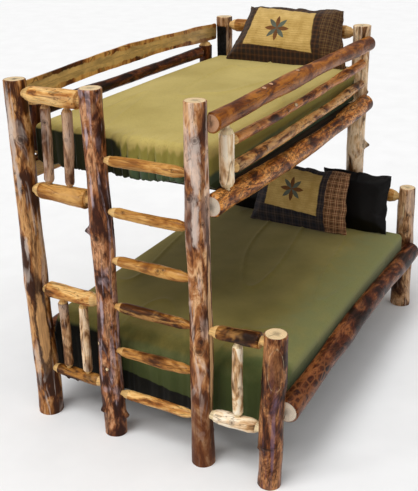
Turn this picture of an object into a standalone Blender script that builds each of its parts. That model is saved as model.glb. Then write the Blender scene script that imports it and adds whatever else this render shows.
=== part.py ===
"""Log bunk bed: a narrow upper bunk over a wide lower bunk, with a ladder built into the foot end.

Metres, +Z up. +X runs from the wall side to the front, +Y from the foot end to the head end.
While it is modelled, the foot post at the wall stands on the origin. At the end the whole bed is
moved so that the middle of its footprint is on the origin.
"""
import math

import bmesh
import bpy
from mathutils import Vector
from mathutils.bvhtree import BVHTree

# Plan: distances between the centres of the posts
BED_LENGTH = 2.083
LADDER_START = 0.436
UPPER_WIDTH = 0.964
FRONT_BAY = 0.371

# Posts: heights, and radii at the floor and at the top
TALL_POST_HEIGHT = 1.83
SHORT_POST_HEIGHT = 0.831
FOOT_WALL_RADII = (0.0655, 0.0535)
LADDER_LEFT_RADII = (0.058, 0.051)
LADDER_RIGHT_RADII = (0.0575, 0.0525)
FOOT_FRONT_RADII = (0.058, 0.0575)
HEAD_WALL_RADII = (0.06, 0.052)
HEAD_MIDDLE_RADII = (0.061, 0.0545)
HEAD_FRONT_RADII = (0.063, 0.053)
POST_END_FLAT = 0.02
POST_TOP_CHAMFER = 0.004

# How far a post's top and foot stand off to the front, and how crooked the posts are
UPRIGHT = (0.0, 0.0)
FOOT_FRONT_LEAN = (0.012, -0.009)
HEAD_MIDDLE_LEAN = (-0.005, 0.004)
HEAD_FRONT_LEAN = (-0.01, 0.006)
POST_SWELL = 0.0025
POST_WANDER = 0.005
POST_WAVES = 1.2

# Side rails: logs with a flat on the inside and a ledge cut for the deck
UPPER_RAIL_DROP = 0.468
UPPER_RAIL_SAG = 0.026
UPPER_LEDGE_RISE = 0.009
LOWER_RAIL_HEIGHT = 0.412
LOWER_RAIL_RISE = 0.024
LOWER_LEDGE_DROP = 0.007
UPPER_RAIL_RADIUS = 0.05
LOWER_RAIL_RADIUS = 0.056
RAIL_AXIS_OFFSET = 0.055
RAIL_FLAT_OFFSET = 0.02
RAIL_END_GAP = 0.03
LEDGE_WIDTH = 0.03
LEDGE_RELIEF = 0.06
LOG_END_ROUND = 0.008
LOG_END_INSET = 0.006
LOG_SWELL = 0.003

# Cross rails of the foot and head ends: centre lines below a post's top, or above the floor
TOP_RAIL_DROP = 0.062
UPPER_BOTTOM_RAIL_DROP = 0.532
LOWER_TOP_RAIL_DROP = 0.072
LOWER_BOTTOM_RAIL_HEIGHT = 0.285
FRONT_TOP_TILT = 0.018
FRONT_BOTTOM_RISE = 0.008
FRONT_BOTTOM_TILT = 0.012
HEAD_TOP_RAIL_DROP = 0.05
UPPER_TOP_RADII = (0.0385, 0.0445)
UPPER_BOTTOM_RADII = (0.0425, 0.046)
LOWER_TOP_RADII = (0.04, 0.04)
LOWER_BOTTOM_RADII = (0.031, 0.032)
FRONT_TOP_RADII = (0.035, 0.04)
FRONT_BOTTOM_RADII = (0.034, 0.0375)
HEAD_RAIL_RADII = (0.041, 0.041)
CROSS_TENON_RADIUS = 0.022
CROSS_TENON_DEPTH = 0.038
SHOULDER_GAP = 0.018
SHOULDER_STEP = 0.003
TENON_SEAT = 0.004
RAIL_CONE = 0.045
RAIL_SWELL = 0.002

# Ladder
RUNG_FIRST_HEIGHT = 0.256
RUNG_PITCH = 0.2502
RUNG_TOP_SPACE = 0.25
RUNG_RADIUS = 0.027
RUNG_CONE = 0.05
RUNG_TENON_RADIUS = 0.015
RUNG_BOW = 0.003

# Spindles between the cross rails
SPINDLE_RADIUS = 0.024
SPINDLE_CONE = 0.018
SPINDLE_TENON_RADIUS = 0.013
SPINDLE_TENON_DEPTH = 0.02
SPINDLE_SPACING = 0.124
SPINDLE_SLANT = 0.02
SPINDLE_BOW = 0.003
HEAD_SPINDLES = 4

# Guard rails above the upper bunk
GUARD_DROP = 0.095
GUARD_RADIUS = 0.043
GUARD_FLAT_OFFSET = 0.04
GUARD_WAVE = 0.004
SLAB_RADIUS = 0.052
SLAB_FLAT_OFFSET = 0.045
SLAB_RISE = 0.03
GUARD_MIDS = 2
GUARD_MID_RADIUS = 0.026
GUARD_MID_GAP = 0.0055
GUARD_MID_SAG = 0.012
GUARD_MID_TENON_RADIUS = 0.012
GUARD_MID_TENON_DEPTH = 0.025
GUARD_MID_SEAT = 0.016
BACK_MID_RADIUS = 0.034
BACK_MID_DROP = 0.204
STILE_DISTANCE = 0.15
STILE_RADIUS = 0.035
BACK_STILE_RADIUS = 0.041
BACK_STILE_DISTANCE = 0.19
STILE_WALL = 0.003
STILE_CONE = 0.03
STILE_TENON_RADIUS = 0.013
STILE_TENON_DEPTH = 0.026

# Steel plate let into the head post at the wall
PLATE_WIDTH = 0.064
PLATE_HEIGHT = 0.22
PLATE_THICKNESS = 0.006
PLATE_DROP = 0.063
PLATE_FLAT_DEPTH = 0.0135

# Decks and mattresses
DECK_THICKNESS = 0.018
DECK_COVER_GAP = 0.08
UPPER_MATTRESS_THICKNESS = 0.203
LOWER_MATTRESS_THICKNESS = 0.122
MATTRESS_CROWN = 0.022
MATTRESS_ROUND = 0.032
MATTRESS_POST_GAP = 0.0034
UPPER_MATTRESS_SIDE_GAP = 0.0195
LOWER_MATTRESS_SIDE_GAP = 0.007
LOWER_COVER_DROP = 0.224
COVER_THICKNESS = 0.024
FOLD_DEPTH = 0.009
FOLD_SWAY = 0.4
UPPER_FOLDS = 4
LOWER_FOLDS = 5

# Pillows: width, height and thickness, and where they lean
UPPER_PILLOW_SIZE = (0.752, 0.39, 0.15)
UPPER_PILLOW_FLARE = 0.115
UPPER_PILLOW_OFFSET = 0.0635
UPPER_PILLOW_LEAN = 31.0
LOWER_PILLOW_SIZE = (0.68, 0.42, 0.14)
LOWER_PILLOW_FLARE = 0.03
LOWER_PILLOW_OFFSET = 0.034
LOWER_PILLOW_LEAN = 18.0
LEATHER_PILLOW_SIZE = (0.5, 0.4, 0.09)
LEATHER_PILLOW_MARGIN = 0.315
LEATHER_PILLOW_LEAN = 14.0
PILLOW_DRAW = 0.05
PILLOW_RIM = 0.012
PILLOW_LEAN_GAP = 0.008
PILLOW_START_HEIGHT = 0.15
PILLOW_START_DISTANCE = 0.45

# Fits and facets
CLEARANCE = 0.0003
WELD = 0.00005
SHARP_ANGLE = 40.0
POST_SIDES = 12
POST_RINGS = 7
RAIL_SIDES = 10
RAIL_RINGS = 3
SPINDLE_SIDES = 8
SPINDLE_RINGS = 2
GUARD_MID_RINGS = 5
HALF_LOG_SIDES = 14
HALF_LOG_RINGS = 8
BORE_SIDES = 8
COLUMNS_PER_FOLD = 4
MATTRESS_ROWS = 4
PILLOW_COLUMNS = 9
PILLOW_ROWS = 7

# Heights and distances that follow from the sizes above
LOWER_WIDTH = UPPER_WIDTH + FRONT_BAY
UPPER_RAIL_HEIGHT = TALL_POST_HEIGHT - UPPER_RAIL_DROP
GUARD_HEIGHT = TALL_POST_HEIGHT - GUARD_DROP
UPPER_LEDGE_HEIGHT = UPPER_RAIL_HEIGHT + UPPER_LEDGE_RISE
LOWER_LEDGE_HEIGHT = LOWER_RAIL_HEIGHT - LOWER_LEDGE_DROP
UPPER_BOTTOM_RAIL_HEIGHT = TALL_POST_HEIGHT - UPPER_BOTTOM_RAIL_DROP
LOWER_TOP_RAIL_HEIGHT = SHORT_POST_HEIGHT - LOWER_TOP_RAIL_DROP
LEDGE_WALL_OFFSET = RAIL_FLAT_OFFSET + LEDGE_WIDTH
WIDEST_POST = max(FOOT_WALL_RADII + LADDER_LEFT_RADII + LADDER_RIGHT_RADII + FOOT_FRONT_RADII
                  + HEAD_WALL_RADII + HEAD_MIDDLE_RADII + HEAD_FRONT_RADII)
POST_REACH = WIDEST_POST + POST_WANDER + POST_SWELL
FOLD_REACH = FOLD_DEPTH * (1 + FOLD_SWAY)
MATTRESS_END_GAP = POST_REACH + FOLD_REACH + MATTRESS_POST_GAP
DECK_END_GAP = MATTRESS_END_GAP + COVER_THICKNESS + DECK_COVER_GAP
LEDGE_END_GAP = DECK_END_GAP - LEDGE_RELIEF
STILE_OFFSET = LEDGE_WALL_OFFSET + STILE_TENON_RADIUS + STILE_WALL
UPPER_MATTRESS_EDGE = RAIL_FLAT_OFFSET - UPPER_MATTRESS_SIDE_GAP
LOWER_MATTRESS_EDGE = RAIL_FLAT_OFFSET - LOWER_MATTRESS_SIDE_GAP
GUARD_MID_POST_OFFSET = UPPER_MATTRESS_EDGE + GUARD_MID_GAP + GUARD_MID_RADIUS + RAIL_SWELL

AXES = "xyz"
RIGHT = Vector((1.0, 0.0, 0.0))
BACK = Vector((0.0, 1.0, 0.0))
UP = Vector((0.0, 0.0, 1.0))


def new_material(name, colour, roughness, metallic=0.0):
    material = bpy.data.materials.new(name)
    material.use_nodes = True
    shader = material.node_tree.nodes["Principled BSDF"]
    shader.inputs["Base Color"].default_value = (*colour, 1.0)
    shader.inputs["Roughness"].default_value = roughness
    shader.inputs["Metallic"].default_value = metallic
    return material


def clear_scene():
    for old in list(bpy.data.objects):
        bpy.data.objects.remove(old, do_unlink=True)


def new_collection(name):
    collection = bpy.data.collections.new(name)
    bpy.context.scene.collection.children.link(collection)
    return collection


clear_scene()
PARTS = new_collection("log_bunk_bed")
CUTTERS = new_collection("cutters")
ROOT = bpy.data.objects.new("log_bunk_bed_origin", None)
PARTS.objects.link(ROOT)

BARK = new_material("varnished_bark_log", (0.23, 0.11, 0.055), 0.35)
HONEY = new_material("varnished_peeled_log", (0.58, 0.33, 0.12), 0.35)
PALE = new_material("pale_peeled_log", (0.72, 0.58, 0.4), 0.4)
PLYWOOD = new_material("stained_plywood_deck", (0.035, 0.02, 0.012), 0.6)
STEEL = new_material("black_steel", (0.02, 0.02, 0.022), 0.4, 0.9)
GREEN = new_material("sage_cotton_cover", (0.33, 0.32, 0.13), 0.85)
PLAID = new_material("brown_plaid_quilt", (0.1, 0.06, 0.035), 0.85)
LEATHER = new_material("dark_leather", (0.03, 0.02, 0.022), 0.45)


def add_object(name, mesh, location, material=None):
    """A part of the bed, or a cutter where no material is given."""
    item = bpy.data.objects.new(name, mesh)
    item.location = location
    item.parent = ROOT
    if material:
        mesh.materials.append(material)
        mesh.shade_smooth()
        mesh.set_sharp_from_angle(angle=math.radians(SHARP_ANGLE))
        PARTS.objects.link(item)
    else:
        item.hide_render = True
        item.display_type = "WIRE"
        CUTTERS.objects.link(item)
    return item


def cut(target, cutter):
    boolean = target.modifiers.new(cutter.name, "BOOLEAN")
    boolean.operation = "DIFFERENCE"
    boolean.object = cutter


def tube_mesh(name, spine, sides):
    """A closed log about a spine of points and radii, measured from the first point."""
    origin = spine[0][0]
    curve = bpy.data.curves.new(name, "CURVE")
    curve.dimensions = "3D"
    curve.bevel_depth = 1.0
    curve.bevel_resolution = sides // 2 - 2
    curve.use_fill_caps = True
    spline = curve.splines.new("POLY")
    spline.points.add(len(spine) - 1)
    for point, (place, radius) in zip(spline.points, spine):
        point.co = (*(place - origin), 1.0)
        point.radius = radius
    guide = bpy.data.objects.new(name, curve)
    PARTS.objects.link(guide)
    depsgraph = bpy.context.evaluated_depsgraph_get()
    mesh = bpy.data.meshes.new_from_object(guide.evaluated_get(depsgraph))
    bpy.data.objects.remove(guide, do_unlink=True)
    shape = bmesh.new()
    shape.from_mesh(mesh)
    bmesh.ops.remove_doubles(shape, verts=shape.verts, dist=WELD)
    bmesh.ops.recalc_face_normals(shape, faces=shape.faces)
    shape.to_mesh(mesh)
    shape.free()
    mesh.name = name
    return mesh


class Log:
    """A log with its spine, so that other pieces can find its surface."""

    def __init__(self, name, spine, sides, material):
        self.spine = spine
        self.item = add_object(name, tube_mesh(name, spine, sides), spine[0][0], material)

    def at(self, axis, value):
        """Centre and radius where the spine crosses the given coordinate."""
        index = AXES.index(axis)
        for (start, start_radius), (end, end_radius) in zip(self.spine, self.spine[1:]):
            low = min(start[index], end[index])
            high = max(start[index], end[index])
            if low <= value <= high and high > low:
                share = (value - start[index]) / (end[index] - start[index])
                return start.lerp(end, share), start_radius + (end_radius - start_radius) * share
        raise ValueError("the log does not reach this coordinate")

    def surface(self, axis, value, direction):
        """The point of the surface in the given direction from the centre line."""
        centre, radius = self.at(axis, value)
        return centre + direction * radius


def make_post(name, x, y, height, radii, phase, lean=UPRIGHT):
    """An upright log. lean is how far its top and its foot stand off in X."""
    base_radius, top_radius = radii
    top_lean, foot_lean = lean
    heights = [0.0]
    for ring in range(POST_RINGS + 1):
        share = ring / POST_RINGS
        heights.append(POST_END_FLAT + (height - 2 * POST_END_FLAT) * share)
    heights.append(height - POST_TOP_CHAMFER)
    heights.append(height)
    spine = []
    for z in heights:
        share = min(max((z - POST_END_FLAT) / (height - 2 * POST_END_FLAT), 0.0), 1.0)
        window = math.sin(math.pi * share)
        wave = 2 * math.pi * (POST_WAVES * share + phase)
        offset = foot_lean + (top_lean - foot_lean) * share + POST_WANDER * window * math.sin(wave)
        depth = POST_WANDER * window * math.cos(wave)
        radius = base_radius + (top_radius - base_radius) * share + POST_SWELL * math.sin(2 * wave)
        if z == height:
            radius -= POST_TOP_CHAMFER
        spine.append((Vector((x + offset, y + depth, z)), radius))
    return Log(name, spine, POST_SIDES, BARK)


def bore(host, name, mouth, inward, radius, depth):
    """A round mortise in host, from its mouth inwards, with clearance round the tenon."""
    shape = bmesh.new()
    length = depth + CLEARANCE + radius + SHOULDER_GAP
    round_radius = (radius + CLEARANCE) / math.cos(math.pi / BORE_SIDES)
    bmesh.ops.create_cone(shape, cap_ends=True, segments=BORE_SIDES, radius1=round_radius,
                          radius2=round_radius, depth=length)
    mesh = bpy.data.meshes.new(name)
    shape.to_mesh(mesh)
    shape.free()
    middle = mouth + inward * (depth + CLEARANCE - length / 2)
    cutter = add_object(name, mesh, middle)
    cutter.rotation_mode = "QUATERNION"
    cutter.rotation_quaternion = inward.to_track_quat("Z", "Y")
    cut(host.item, cutter)


def end_rings(style, radius, tenon, cone, seat):
    """Distances from the host's surface, and radii, from a tenon's tip to the full log."""
    tenon_radius, tenon_depth = tenon
    if style == "shoulder":
        return [(-tenon_depth, tenon_radius), (SHOULDER_GAP - SHOULDER_STEP, tenon_radius),
                (SHOULDER_GAP, radius - SHOULDER_STEP), (SHOULDER_GAP + 2 * SHOULDER_STEP, radius)]
    waist = 0.6 * radius + 0.4 * tenon_radius
    return [(-tenon_depth, tenon_radius), (seat, tenon_radius), (seat + 0.35 * cone, waist),
            (seat + cone, radius)]


def make_dowel(name, ends, radii, tenon, sides, material, styles=("cone", "cone"), cone=RAIL_CONE,
               seat=TENON_SEAT, bow=Vector(), rings=RAIL_RINGS, phase=0.0):
    """A log tenoned into a host at both ends. ends holds (surface point, host) pairs."""
    (start, start_host), (finish, finish_host) = ends
    length = (finish - start).length
    along = (finish - start) / length
    profile = end_rings(styles[0], radii[0], tenon, cone, seat)
    far = [(length - distance, radius) for distance, radius in
           end_rings(styles[1], radii[1], tenon, cone, seat)]
    far.reverse()
    first = profile[-1][0]
    last = far[0][0]
    for ring in range(1, rings):
        share = ring / rings
        radius = radii[0] + (radii[1] - radii[0]) * share
        radius += RAIL_SWELL * math.sin(2 * math.pi * (1.5 * share + phase))
        profile.append((first + (last - first) * share, radius))
    profile += far
    spine = []
    for distance, radius in profile:
        share = min(max((distance - first) / (last - first), 0.0), 1.0)
        spine.append((start + along * distance + bow * math.sin(math.pi * share), radius))
    log = Log(name, spine, sides, material)
    bore(start_host, name + "_mortise_start", start, -along, *tenon)
    bore(finish_host, name + "_mortise_end", finish, along, *tenon)
    return log


def make_cross_rail(name, left, right, heights, radii, material, styles=("cone", "cone"), phase=0.0):
    """A rail between two posts of the foot or head end."""
    ends = ((left.surface("z", heights[0], RIGHT), left), (right.surface("z", heights[1], -RIGHT), right))
    return make_dowel(name, ends, radii, (CROSS_TENON_RADIUS, CROSS_TENON_DEPTH), RAIL_SIDES, material,
                      styles, phase=phase)


def make_spindle(name, top_rail, bottom_rail, x_top, x_bottom, material, phase):
    ends = ((bottom_rail.surface("x", x_bottom, UP), bottom_rail),
            (top_rail.surface("x", x_top, -UP), top_rail))
    tenon = (SPINDLE_TENON_RADIUS, SPINDLE_TENON_DEPTH)
    return make_dowel(name, ends, (SPINDLE_RADIUS, SPINDLE_RADIUS), tenon, SPINDLE_SIDES, material,
                      cone=SPINDLE_CONE, bow=RIGHT * SPINDLE_BOW * math.sin(phase), rings=SPINDLE_RINGS,
                      phase=phase)


def flat_cut(mesh, plane_x, side):
    """Saws the log flat at plane_x and keeps what lies on the given side of it."""
    shape = bmesh.new()
    shape.from_mesh(mesh)
    geometry = shape.verts[:] + shape.edges[:] + shape.faces[:]
    bmesh.ops.bisect_plane(shape, geom=geometry, plane_co=(plane_x, 0.0, 0.0), plane_no=(side, 0.0, 0.0),
                           clear_inner=True, dist=WELD)
    rim = [edge for edge in shape.edges if edge.is_boundary]
    bmesh.ops.holes_fill(shape, edges=rim, sides=0)
    bmesh.ops.recalc_face_normals(shape, faces=shape.faces)
    shape.to_mesh(mesh)
    shape.free()


class HalfLog(Log):
    """A log along Y, sawn flat on the side that faces the mattress and housed in its two posts."""

    def __init__(self, name, post_x, side, offsets, height_at, radius, hosts, material):
        """offsets are those of the log's axis and of its flat from the posts' centres."""
        axis_offset, flat_offset = offsets
        self.side = side
        self.flat_x = post_x + side * flat_offset
        length = BED_LENGTH - 2 * RAIL_END_GAP
        places = [0.0, LOG_END_ROUND]
        places += [length * ring / HALF_LOG_RINGS for ring in range(1, HALF_LOG_RINGS)]
        places += [length - LOG_END_ROUND, length]
        self.spine = []
        for place in places:
            inset = LOG_END_INSET if place in (0.0, length) else 0.0
            share = place / length
            swell = LOG_SWELL * math.sin(2 * math.pi * (2.2 * share + 0.3))
            centre = Vector((post_x + side * axis_offset, RAIL_END_GAP + place, height_at(share)))
            self.spine.append((centre, radius + swell - inset))
        self.item = add_object(name, self.sawn_mesh(name, 0.0), self.spine[0][0], material)
        for host in hosts:
            housing = add_object(f"{name}_housing_in_{host.item.name}", self.sawn_mesh(name, CLEARANCE),
                                 self.spine[0][0] - BACK * CLEARANCE)
            cut(host.item, housing)

    def sawn_mesh(self, name, growth):
        """The log itself, or with a growth the space that it needs in a post."""
        margin = growth / math.cos(math.pi / HALF_LOG_SIDES)
        spine = [(place.copy(), radius + margin) for place, radius in self.spine]
        spine[0] = (spine[0][0] - BACK * growth, spine[0][1])
        spine[-1] = (spine[-1][0] + BACK * growth, spine[-1][1])
        mesh = tube_mesh(name, spine, HALF_LOG_SIDES)
        flat_cut(mesh, self.flat_x - self.side * growth - spine[0][0].x, self.side)
        return mesh


def add_box(name, low, high, material=None):
    shape = bmesh.new()
    bmesh.ops.create_cube(shape, size=1.0)
    size = Vector(high) - Vector(low)
    bmesh.ops.scale(shape, vec=size, verts=shape.verts)
    mesh = bpy.data.meshes.new(name)
    shape.to_mesh(mesh)
    shape.free()
    return add_object(name, mesh, (Vector(low) + Vector(high)) / 2, material)


def cut_ledge(rail, post_x, height, radius):
    """The step along the inside of a side rail on which the deck lies."""
    inner = post_x + rail.side * (RAIL_FLAT_OFFSET - radius)
    wall = post_x + rail.side * LEDGE_WALL_OFFSET
    low = Vector((min(inner, wall), LEDGE_END_GAP, height))
    high = Vector((max(inner, wall), BED_LENGTH - LEDGE_END_GAP, height + 4 * radius))
    cut(rail.item, add_box(rail.item.name + "_ledge", low, high))


def make_posts():
    tall = TALL_POST_HEIGHT
    short = SHORT_POST_HEIGHT
    far = BED_LENGTH
    return {
        "foot_wall": make_post("post_foot_wall", 0.0, 0.0, tall, FOOT_WALL_RADII, 0.1),
        "ladder_left": make_post("post_ladder_left", LADDER_START, 0.0, tall, LADDER_LEFT_RADII, 0.45),
        "ladder_right": make_post("post_ladder_right", UPPER_WIDTH, 0.0, tall, LADDER_RIGHT_RADII, 0.7),
        "foot_front": make_post("post_foot_front", LOWER_WIDTH, 0.0, short, FOOT_FRONT_RADII, 0.25,
                                FOOT_FRONT_LEAN),
        "head_wall": make_post("post_head_wall", 0.0, far, tall, HEAD_WALL_RADII, 0.3),
        "head_middle": make_post("post_head_middle", UPPER_WIDTH, far, tall, HEAD_MIDDLE_RADII, 0.85,
                                 HEAD_MIDDLE_LEAN),
        "head_front": make_post("post_head_front", LOWER_WIDTH, far, short, HEAD_FRONT_RADII, 0.6,
                                HEAD_FRONT_LEAN),
    }


def bay_middle(left, right, height):
    """The X half-way between the facing surfaces of two posts."""
    return (left.surface("z", height, RIGHT).x + right.surface("z", height, -RIGHT).x) / 2


def make_foot_end(posts):
    wall, left = posts["foot_wall"], posts["ladder_left"]
    right, front = posts["ladder_right"], posts["foot_front"]
    top = TALL_POST_HEIGHT - TOP_RAIL_DROP
    upper_low = UPPER_BOTTOM_RAIL_HEIGHT
    lower_top = LOWER_TOP_RAIL_HEIGHT
    lower_low = LOWER_BOTTOM_RAIL_HEIGHT
    front_low = lower_low + FRONT_BOTTOM_RISE
    bays = {
        "upper": (make_cross_rail("foot_rail_upper_top", wall, left, (top, top), UPPER_TOP_RADII, HONEY,
                                  ("cone", "shoulder"), 0.1),
                  make_cross_rail("foot_rail_upper_bottom", wall, left, (upper_low, upper_low),
                                  UPPER_BOTTOM_RADII, HONEY, ("cone", "shoulder"), 0.4)),
        "lower": (make_cross_rail("foot_rail_lower_top", wall, left, (lower_top, lower_top), LOWER_TOP_RADII,
                                  HONEY, ("shoulder", "cone"), 0.6),
                  make_cross_rail("foot_rail_lower_bottom", wall, left, (lower_low, lower_low),
                                  LOWER_BOTTOM_RADII, BARK, phase=0.8)),
        "front": (make_cross_rail("foot_rail_front_top", right, front,
                                  (lower_top, lower_top + FRONT_TOP_TILT), FRONT_TOP_RADII, BARK,
                                  ("cone", "shoulder"), 0.3),
                  make_cross_rail("foot_rail_front_bottom", right, front,
                                  (front_low, front_low + FRONT_BOTTOM_TILT), FRONT_BOTTOM_RADII, PALE,
                                  phase=0.9)),
    }
    first = bay_middle(wall, left, lower_top) - SPINDLE_SPACING / 2
    second = first + SPINDLE_SPACING
    slant = SPINDLE_SLANT / 2
    middle = bay_middle(right, front, lower_top)
    make_spindle("foot_spindle_upper_1", *bays["upper"], first + slant, first - slant, BARK, 0.5)
    make_spindle("foot_spindle_upper_2", *bays["upper"], second + slant, second - slant, BARK, 1.4)
    make_spindle("foot_spindle_lower_1", *bays["lower"], first, first, BARK, 2.2)
    make_spindle("foot_spindle_lower_2", *bays["lower"], second, second, PALE, 3.6)
    make_spindle("foot_spindle_front", *bays["front"], middle, middle, PALE, 4.4)


def make_ladder(posts):
    left, right = posts["ladder_left"], posts["ladder_right"]
    climb = TALL_POST_HEIGHT - RUNG_TOP_SPACE - RUNG_FIRST_HEIGHT
    for rung in range(int(climb / RUNG_PITCH) + 1):
        height = RUNG_FIRST_HEIGHT + RUNG_PITCH * rung
        ends = ((left.surface("z", height, RIGHT), left), (right.surface("z", height, -RIGHT), right))
        bow = (UP * math.cos(2.3 * rung) + BACK * math.sin(1.7 * rung)) * RUNG_BOW
        make_dowel(f"ladder_rung_{rung + 1}", ends, (RUNG_RADIUS, RUNG_RADIUS),
                   (RUNG_TENON_RADIUS, CROSS_TENON_DEPTH), RAIL_SIDES, HONEY, cone=RUNG_CONE, bow=bow,
                   phase=0.37 * rung)


def make_head_end(posts):
    """The head end repeats the foot end's panels, with one wide bay in place of the ladder."""
    wall, middle, front = posts["head_wall"], posts["head_middle"], posts["head_front"]
    head_top = TALL_POST_HEIGHT - HEAD_TOP_RAIL_DROP
    panels = {
        "upper": (wall, middle, head_top, UPPER_BOTTOM_RAIL_HEIGHT, HEAD_SPINDLES),
        "lower": (wall, middle, LOWER_TOP_RAIL_HEIGHT, LOWER_BOTTOM_RAIL_HEIGHT, HEAD_SPINDLES),
        "front": (middle, front, LOWER_TOP_RAIL_HEIGHT, LOWER_BOTTOM_RAIL_HEIGHT, 1),
    }
    for index, (panel, (left, right, top, bottom, spindles)) in enumerate(panels.items()):
        top_rail = make_cross_rail(f"head_rail_{panel}_top", left, right, (top, top), HEAD_RAIL_RADII, HONEY,
                                   phase=0.2 * index)
        low_rail = make_cross_rail(f"head_rail_{panel}_bottom", left, right, (bottom, bottom),
                                   HEAD_RAIL_RADII, HONEY, phase=0.2 * index + 0.5)
        start = left.surface("z", bottom, RIGHT).x
        span = right.surface("z", bottom, -RIGHT).x - start
        for spindle in range(spindles):
            x = start + span * (spindle + 1) / (spindles + 1)
            number = f"_{spindle + 1}" if spindles > 1 else ""
            make_spindle(f"head_spindle_{panel}{number}", top_rail, low_rail, x, x, BARK,
                         1.3 * spindle + index)


def upper_rail_height(share):
    return UPPER_RAIL_HEIGHT - UPPER_RAIL_SAG * math.sin(math.pi * share)


def lower_rail_height(share):
    return LOWER_RAIL_HEIGHT + LOWER_RAIL_RISE * math.sin(math.pi * share) ** 2


def level_lower_rail(share):
    return LOWER_RAIL_HEIGHT


def guard_height(share):
    return GUARD_HEIGHT + GUARD_WAVE * math.sin(math.pi * (2 * share - 0.5))


def slab_height(share):
    return GUARD_HEIGHT + SLAB_RISE * math.sin(math.pi * share)


def make_side_rails(posts):
    upper = (UPPER_RAIL_RADIUS, UPPER_LEDGE_HEIGHT)
    lower = (LOWER_RAIL_RADIUS, LOWER_LEDGE_HEIGHT)
    sides = {
        "upper_front": (UPPER_WIDTH, 1, upper_rail_height, upper, ("ladder_right", "head_middle")),
        "upper_back": (0.0, -1, upper_rail_height, upper, ("foot_wall", "head_wall")),
        "lower_front": (LOWER_WIDTH, 1, lower_rail_height, lower, ("foot_front", "head_front")),
        "lower_back": (0.0, -1, level_lower_rail, lower, ("foot_wall", "head_wall")),
    }
    rails = {}
    for name, (post_x, side, height_at, (radius, ledge), hosts) in sides.items():
        rail = HalfLog(f"side_rail_{name}", post_x, side, (RAIL_AXIS_OFFSET, RAIL_FLAT_OFFSET), height_at,
                       radius, [posts[host] for host in hosts], BARK)
        cut_ledge(rail, post_x, ledge, radius)
        rails[name] = rail
    return rails


def make_stile(name, post_x, side, y, radius, top, rail, material):
    """An upright between a side rail and the top log of a guard."""
    stile_x = post_x + side * STILE_OFFSET
    feet = []
    for log, direction in ((rail, 1), (top, -1)):
        centre, log_radius = log.at("y", y)
        reach = math.sqrt(log_radius ** 2 - (stile_x - centre.x) ** 2)
        feet.append((Vector((stile_x, y, centre.z + direction * reach)), log))
    return make_dowel(name, feet, (radius, radius), (STILE_TENON_RADIUS, STILE_TENON_DEPTH), RAIL_SIDES,
                      material, cone=STILE_CONE, rings=SPINDLE_RINGS)


def make_guard_mid(name, ends, radius, material, bow=Vector(), phase=0.0):
    """A middle log of a guard."""
    return make_dowel(name, ends, (radius, radius), (GUARD_MID_TENON_RADIUS, GUARD_MID_TENON_DEPTH),
                      RAIL_SIDES, material, cone=STILE_CONE, seat=GUARD_MID_SEAT, bow=bow,
                      rings=GUARD_MID_RINGS, phase=phase)


def make_front_guard(posts, rail):
    """A round top log, a stile near the foot, and middle logs from the stile to the head post."""
    head = posts["head_middle"]
    top = HalfLog("guard_front_top", UPPER_WIDTH, 1, (RAIL_AXIS_OFFSET, GUARD_FLAT_OFFSET), guard_height,
                  GUARD_RADIUS, [posts["ladder_right"], head], HONEY)
    stile = make_stile("guard_front_stile", UPPER_WIDTH, 1, STILE_DISTANCE, STILE_RADIUS, top, rail, PALE)
    mid_x = UPPER_WIDTH + GUARD_MID_POST_OFFSET
    pitch = (GUARD_HEIGHT - UPPER_RAIL_HEIGHT) / (GUARD_MIDS + 1)
    for number in range(1, GUARD_MIDS + 1):
        height = GUARD_HEIGHT - pitch * number
        centre, radius = head.at("z", height)
        reach = math.sqrt(radius ** 2 - (mid_x - centre.x) ** 2)
        ends = ((stile.surface("z", height, BACK), stile), (Vector((mid_x, centre.y - reach, height)), head))
        make_guard_mid(f"guard_front_mid_{number}", ends, GUARD_MID_RADIUS, HONEY, -UP * GUARD_MID_SAG,
                       0.4 * number)


def make_back_guard(posts, rail):
    """A sawn slab on two stiles, with one thick log between them."""
    slab = HalfLog("guard_back_top", 0.0, -1, (SLAB_FLAT_OFFSET, SLAB_FLAT_OFFSET), slab_height,
                   SLAB_RADIUS, [posts["foot_wall"], posts["head_wall"]], HONEY)
    height = TALL_POST_HEIGHT - BACK_MID_DROP
    ends = []
    for end, y, inward in (("foot", BACK_STILE_DISTANCE, BACK), ("head", BED_LENGTH - STILE_DISTANCE, -BACK)):
        stile = make_stile(f"guard_back_stile_{end}", 0.0, -1, y, BACK_STILE_RADIUS, slab, rail, BARK)
        ends.append((stile.surface("z", height, inward), stile))
    make_guard_mid("guard_back_mid", ends, BACK_MID_RADIUS, BARK)


def make_plate(post):
    """The steel plate on the foot-facing side of the head post at the wall, seated on a flat."""
    top = TALL_POST_HEIGHT - PLATE_DROP
    centre, radius = post.at("z", top - PLATE_HEIGHT / 2)
    flat_y = centre.y - radius + PLATE_FLAT_DEPTH
    half = PLATE_WIDTH / 2
    low = Vector((centre.x - 2 * radius, flat_y - 2 * radius, top - PLATE_HEIGHT - CLEARANCE))
    high = Vector((centre.x + 2 * radius, flat_y, top + CLEARANCE))
    cut(post.item, add_box("guard_bracket_flat", low, high))
    plate_back = flat_y - CLEARANCE
    add_box("guard_bracket", (centre.x - half, plate_back - PLATE_THICKNESS, top - PLATE_HEIGHT),
            (centre.x + half, plate_back, top), STEEL)


def make_deck(name, width, ledge):
    """A plywood deck in the ledges of the side rails. Returns the height of its top."""
    reach = LEDGE_WALL_OFFSET - CLEARANCE
    low = (-reach, DECK_END_GAP, ledge + CLEARANCE)
    high = (width + reach, BED_LENGTH - DECK_END_GAP, ledge + CLEARANCE + DECK_THICKNESS)
    add_box(name, low, high, PLYWOOD)
    return high[2]


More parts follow.
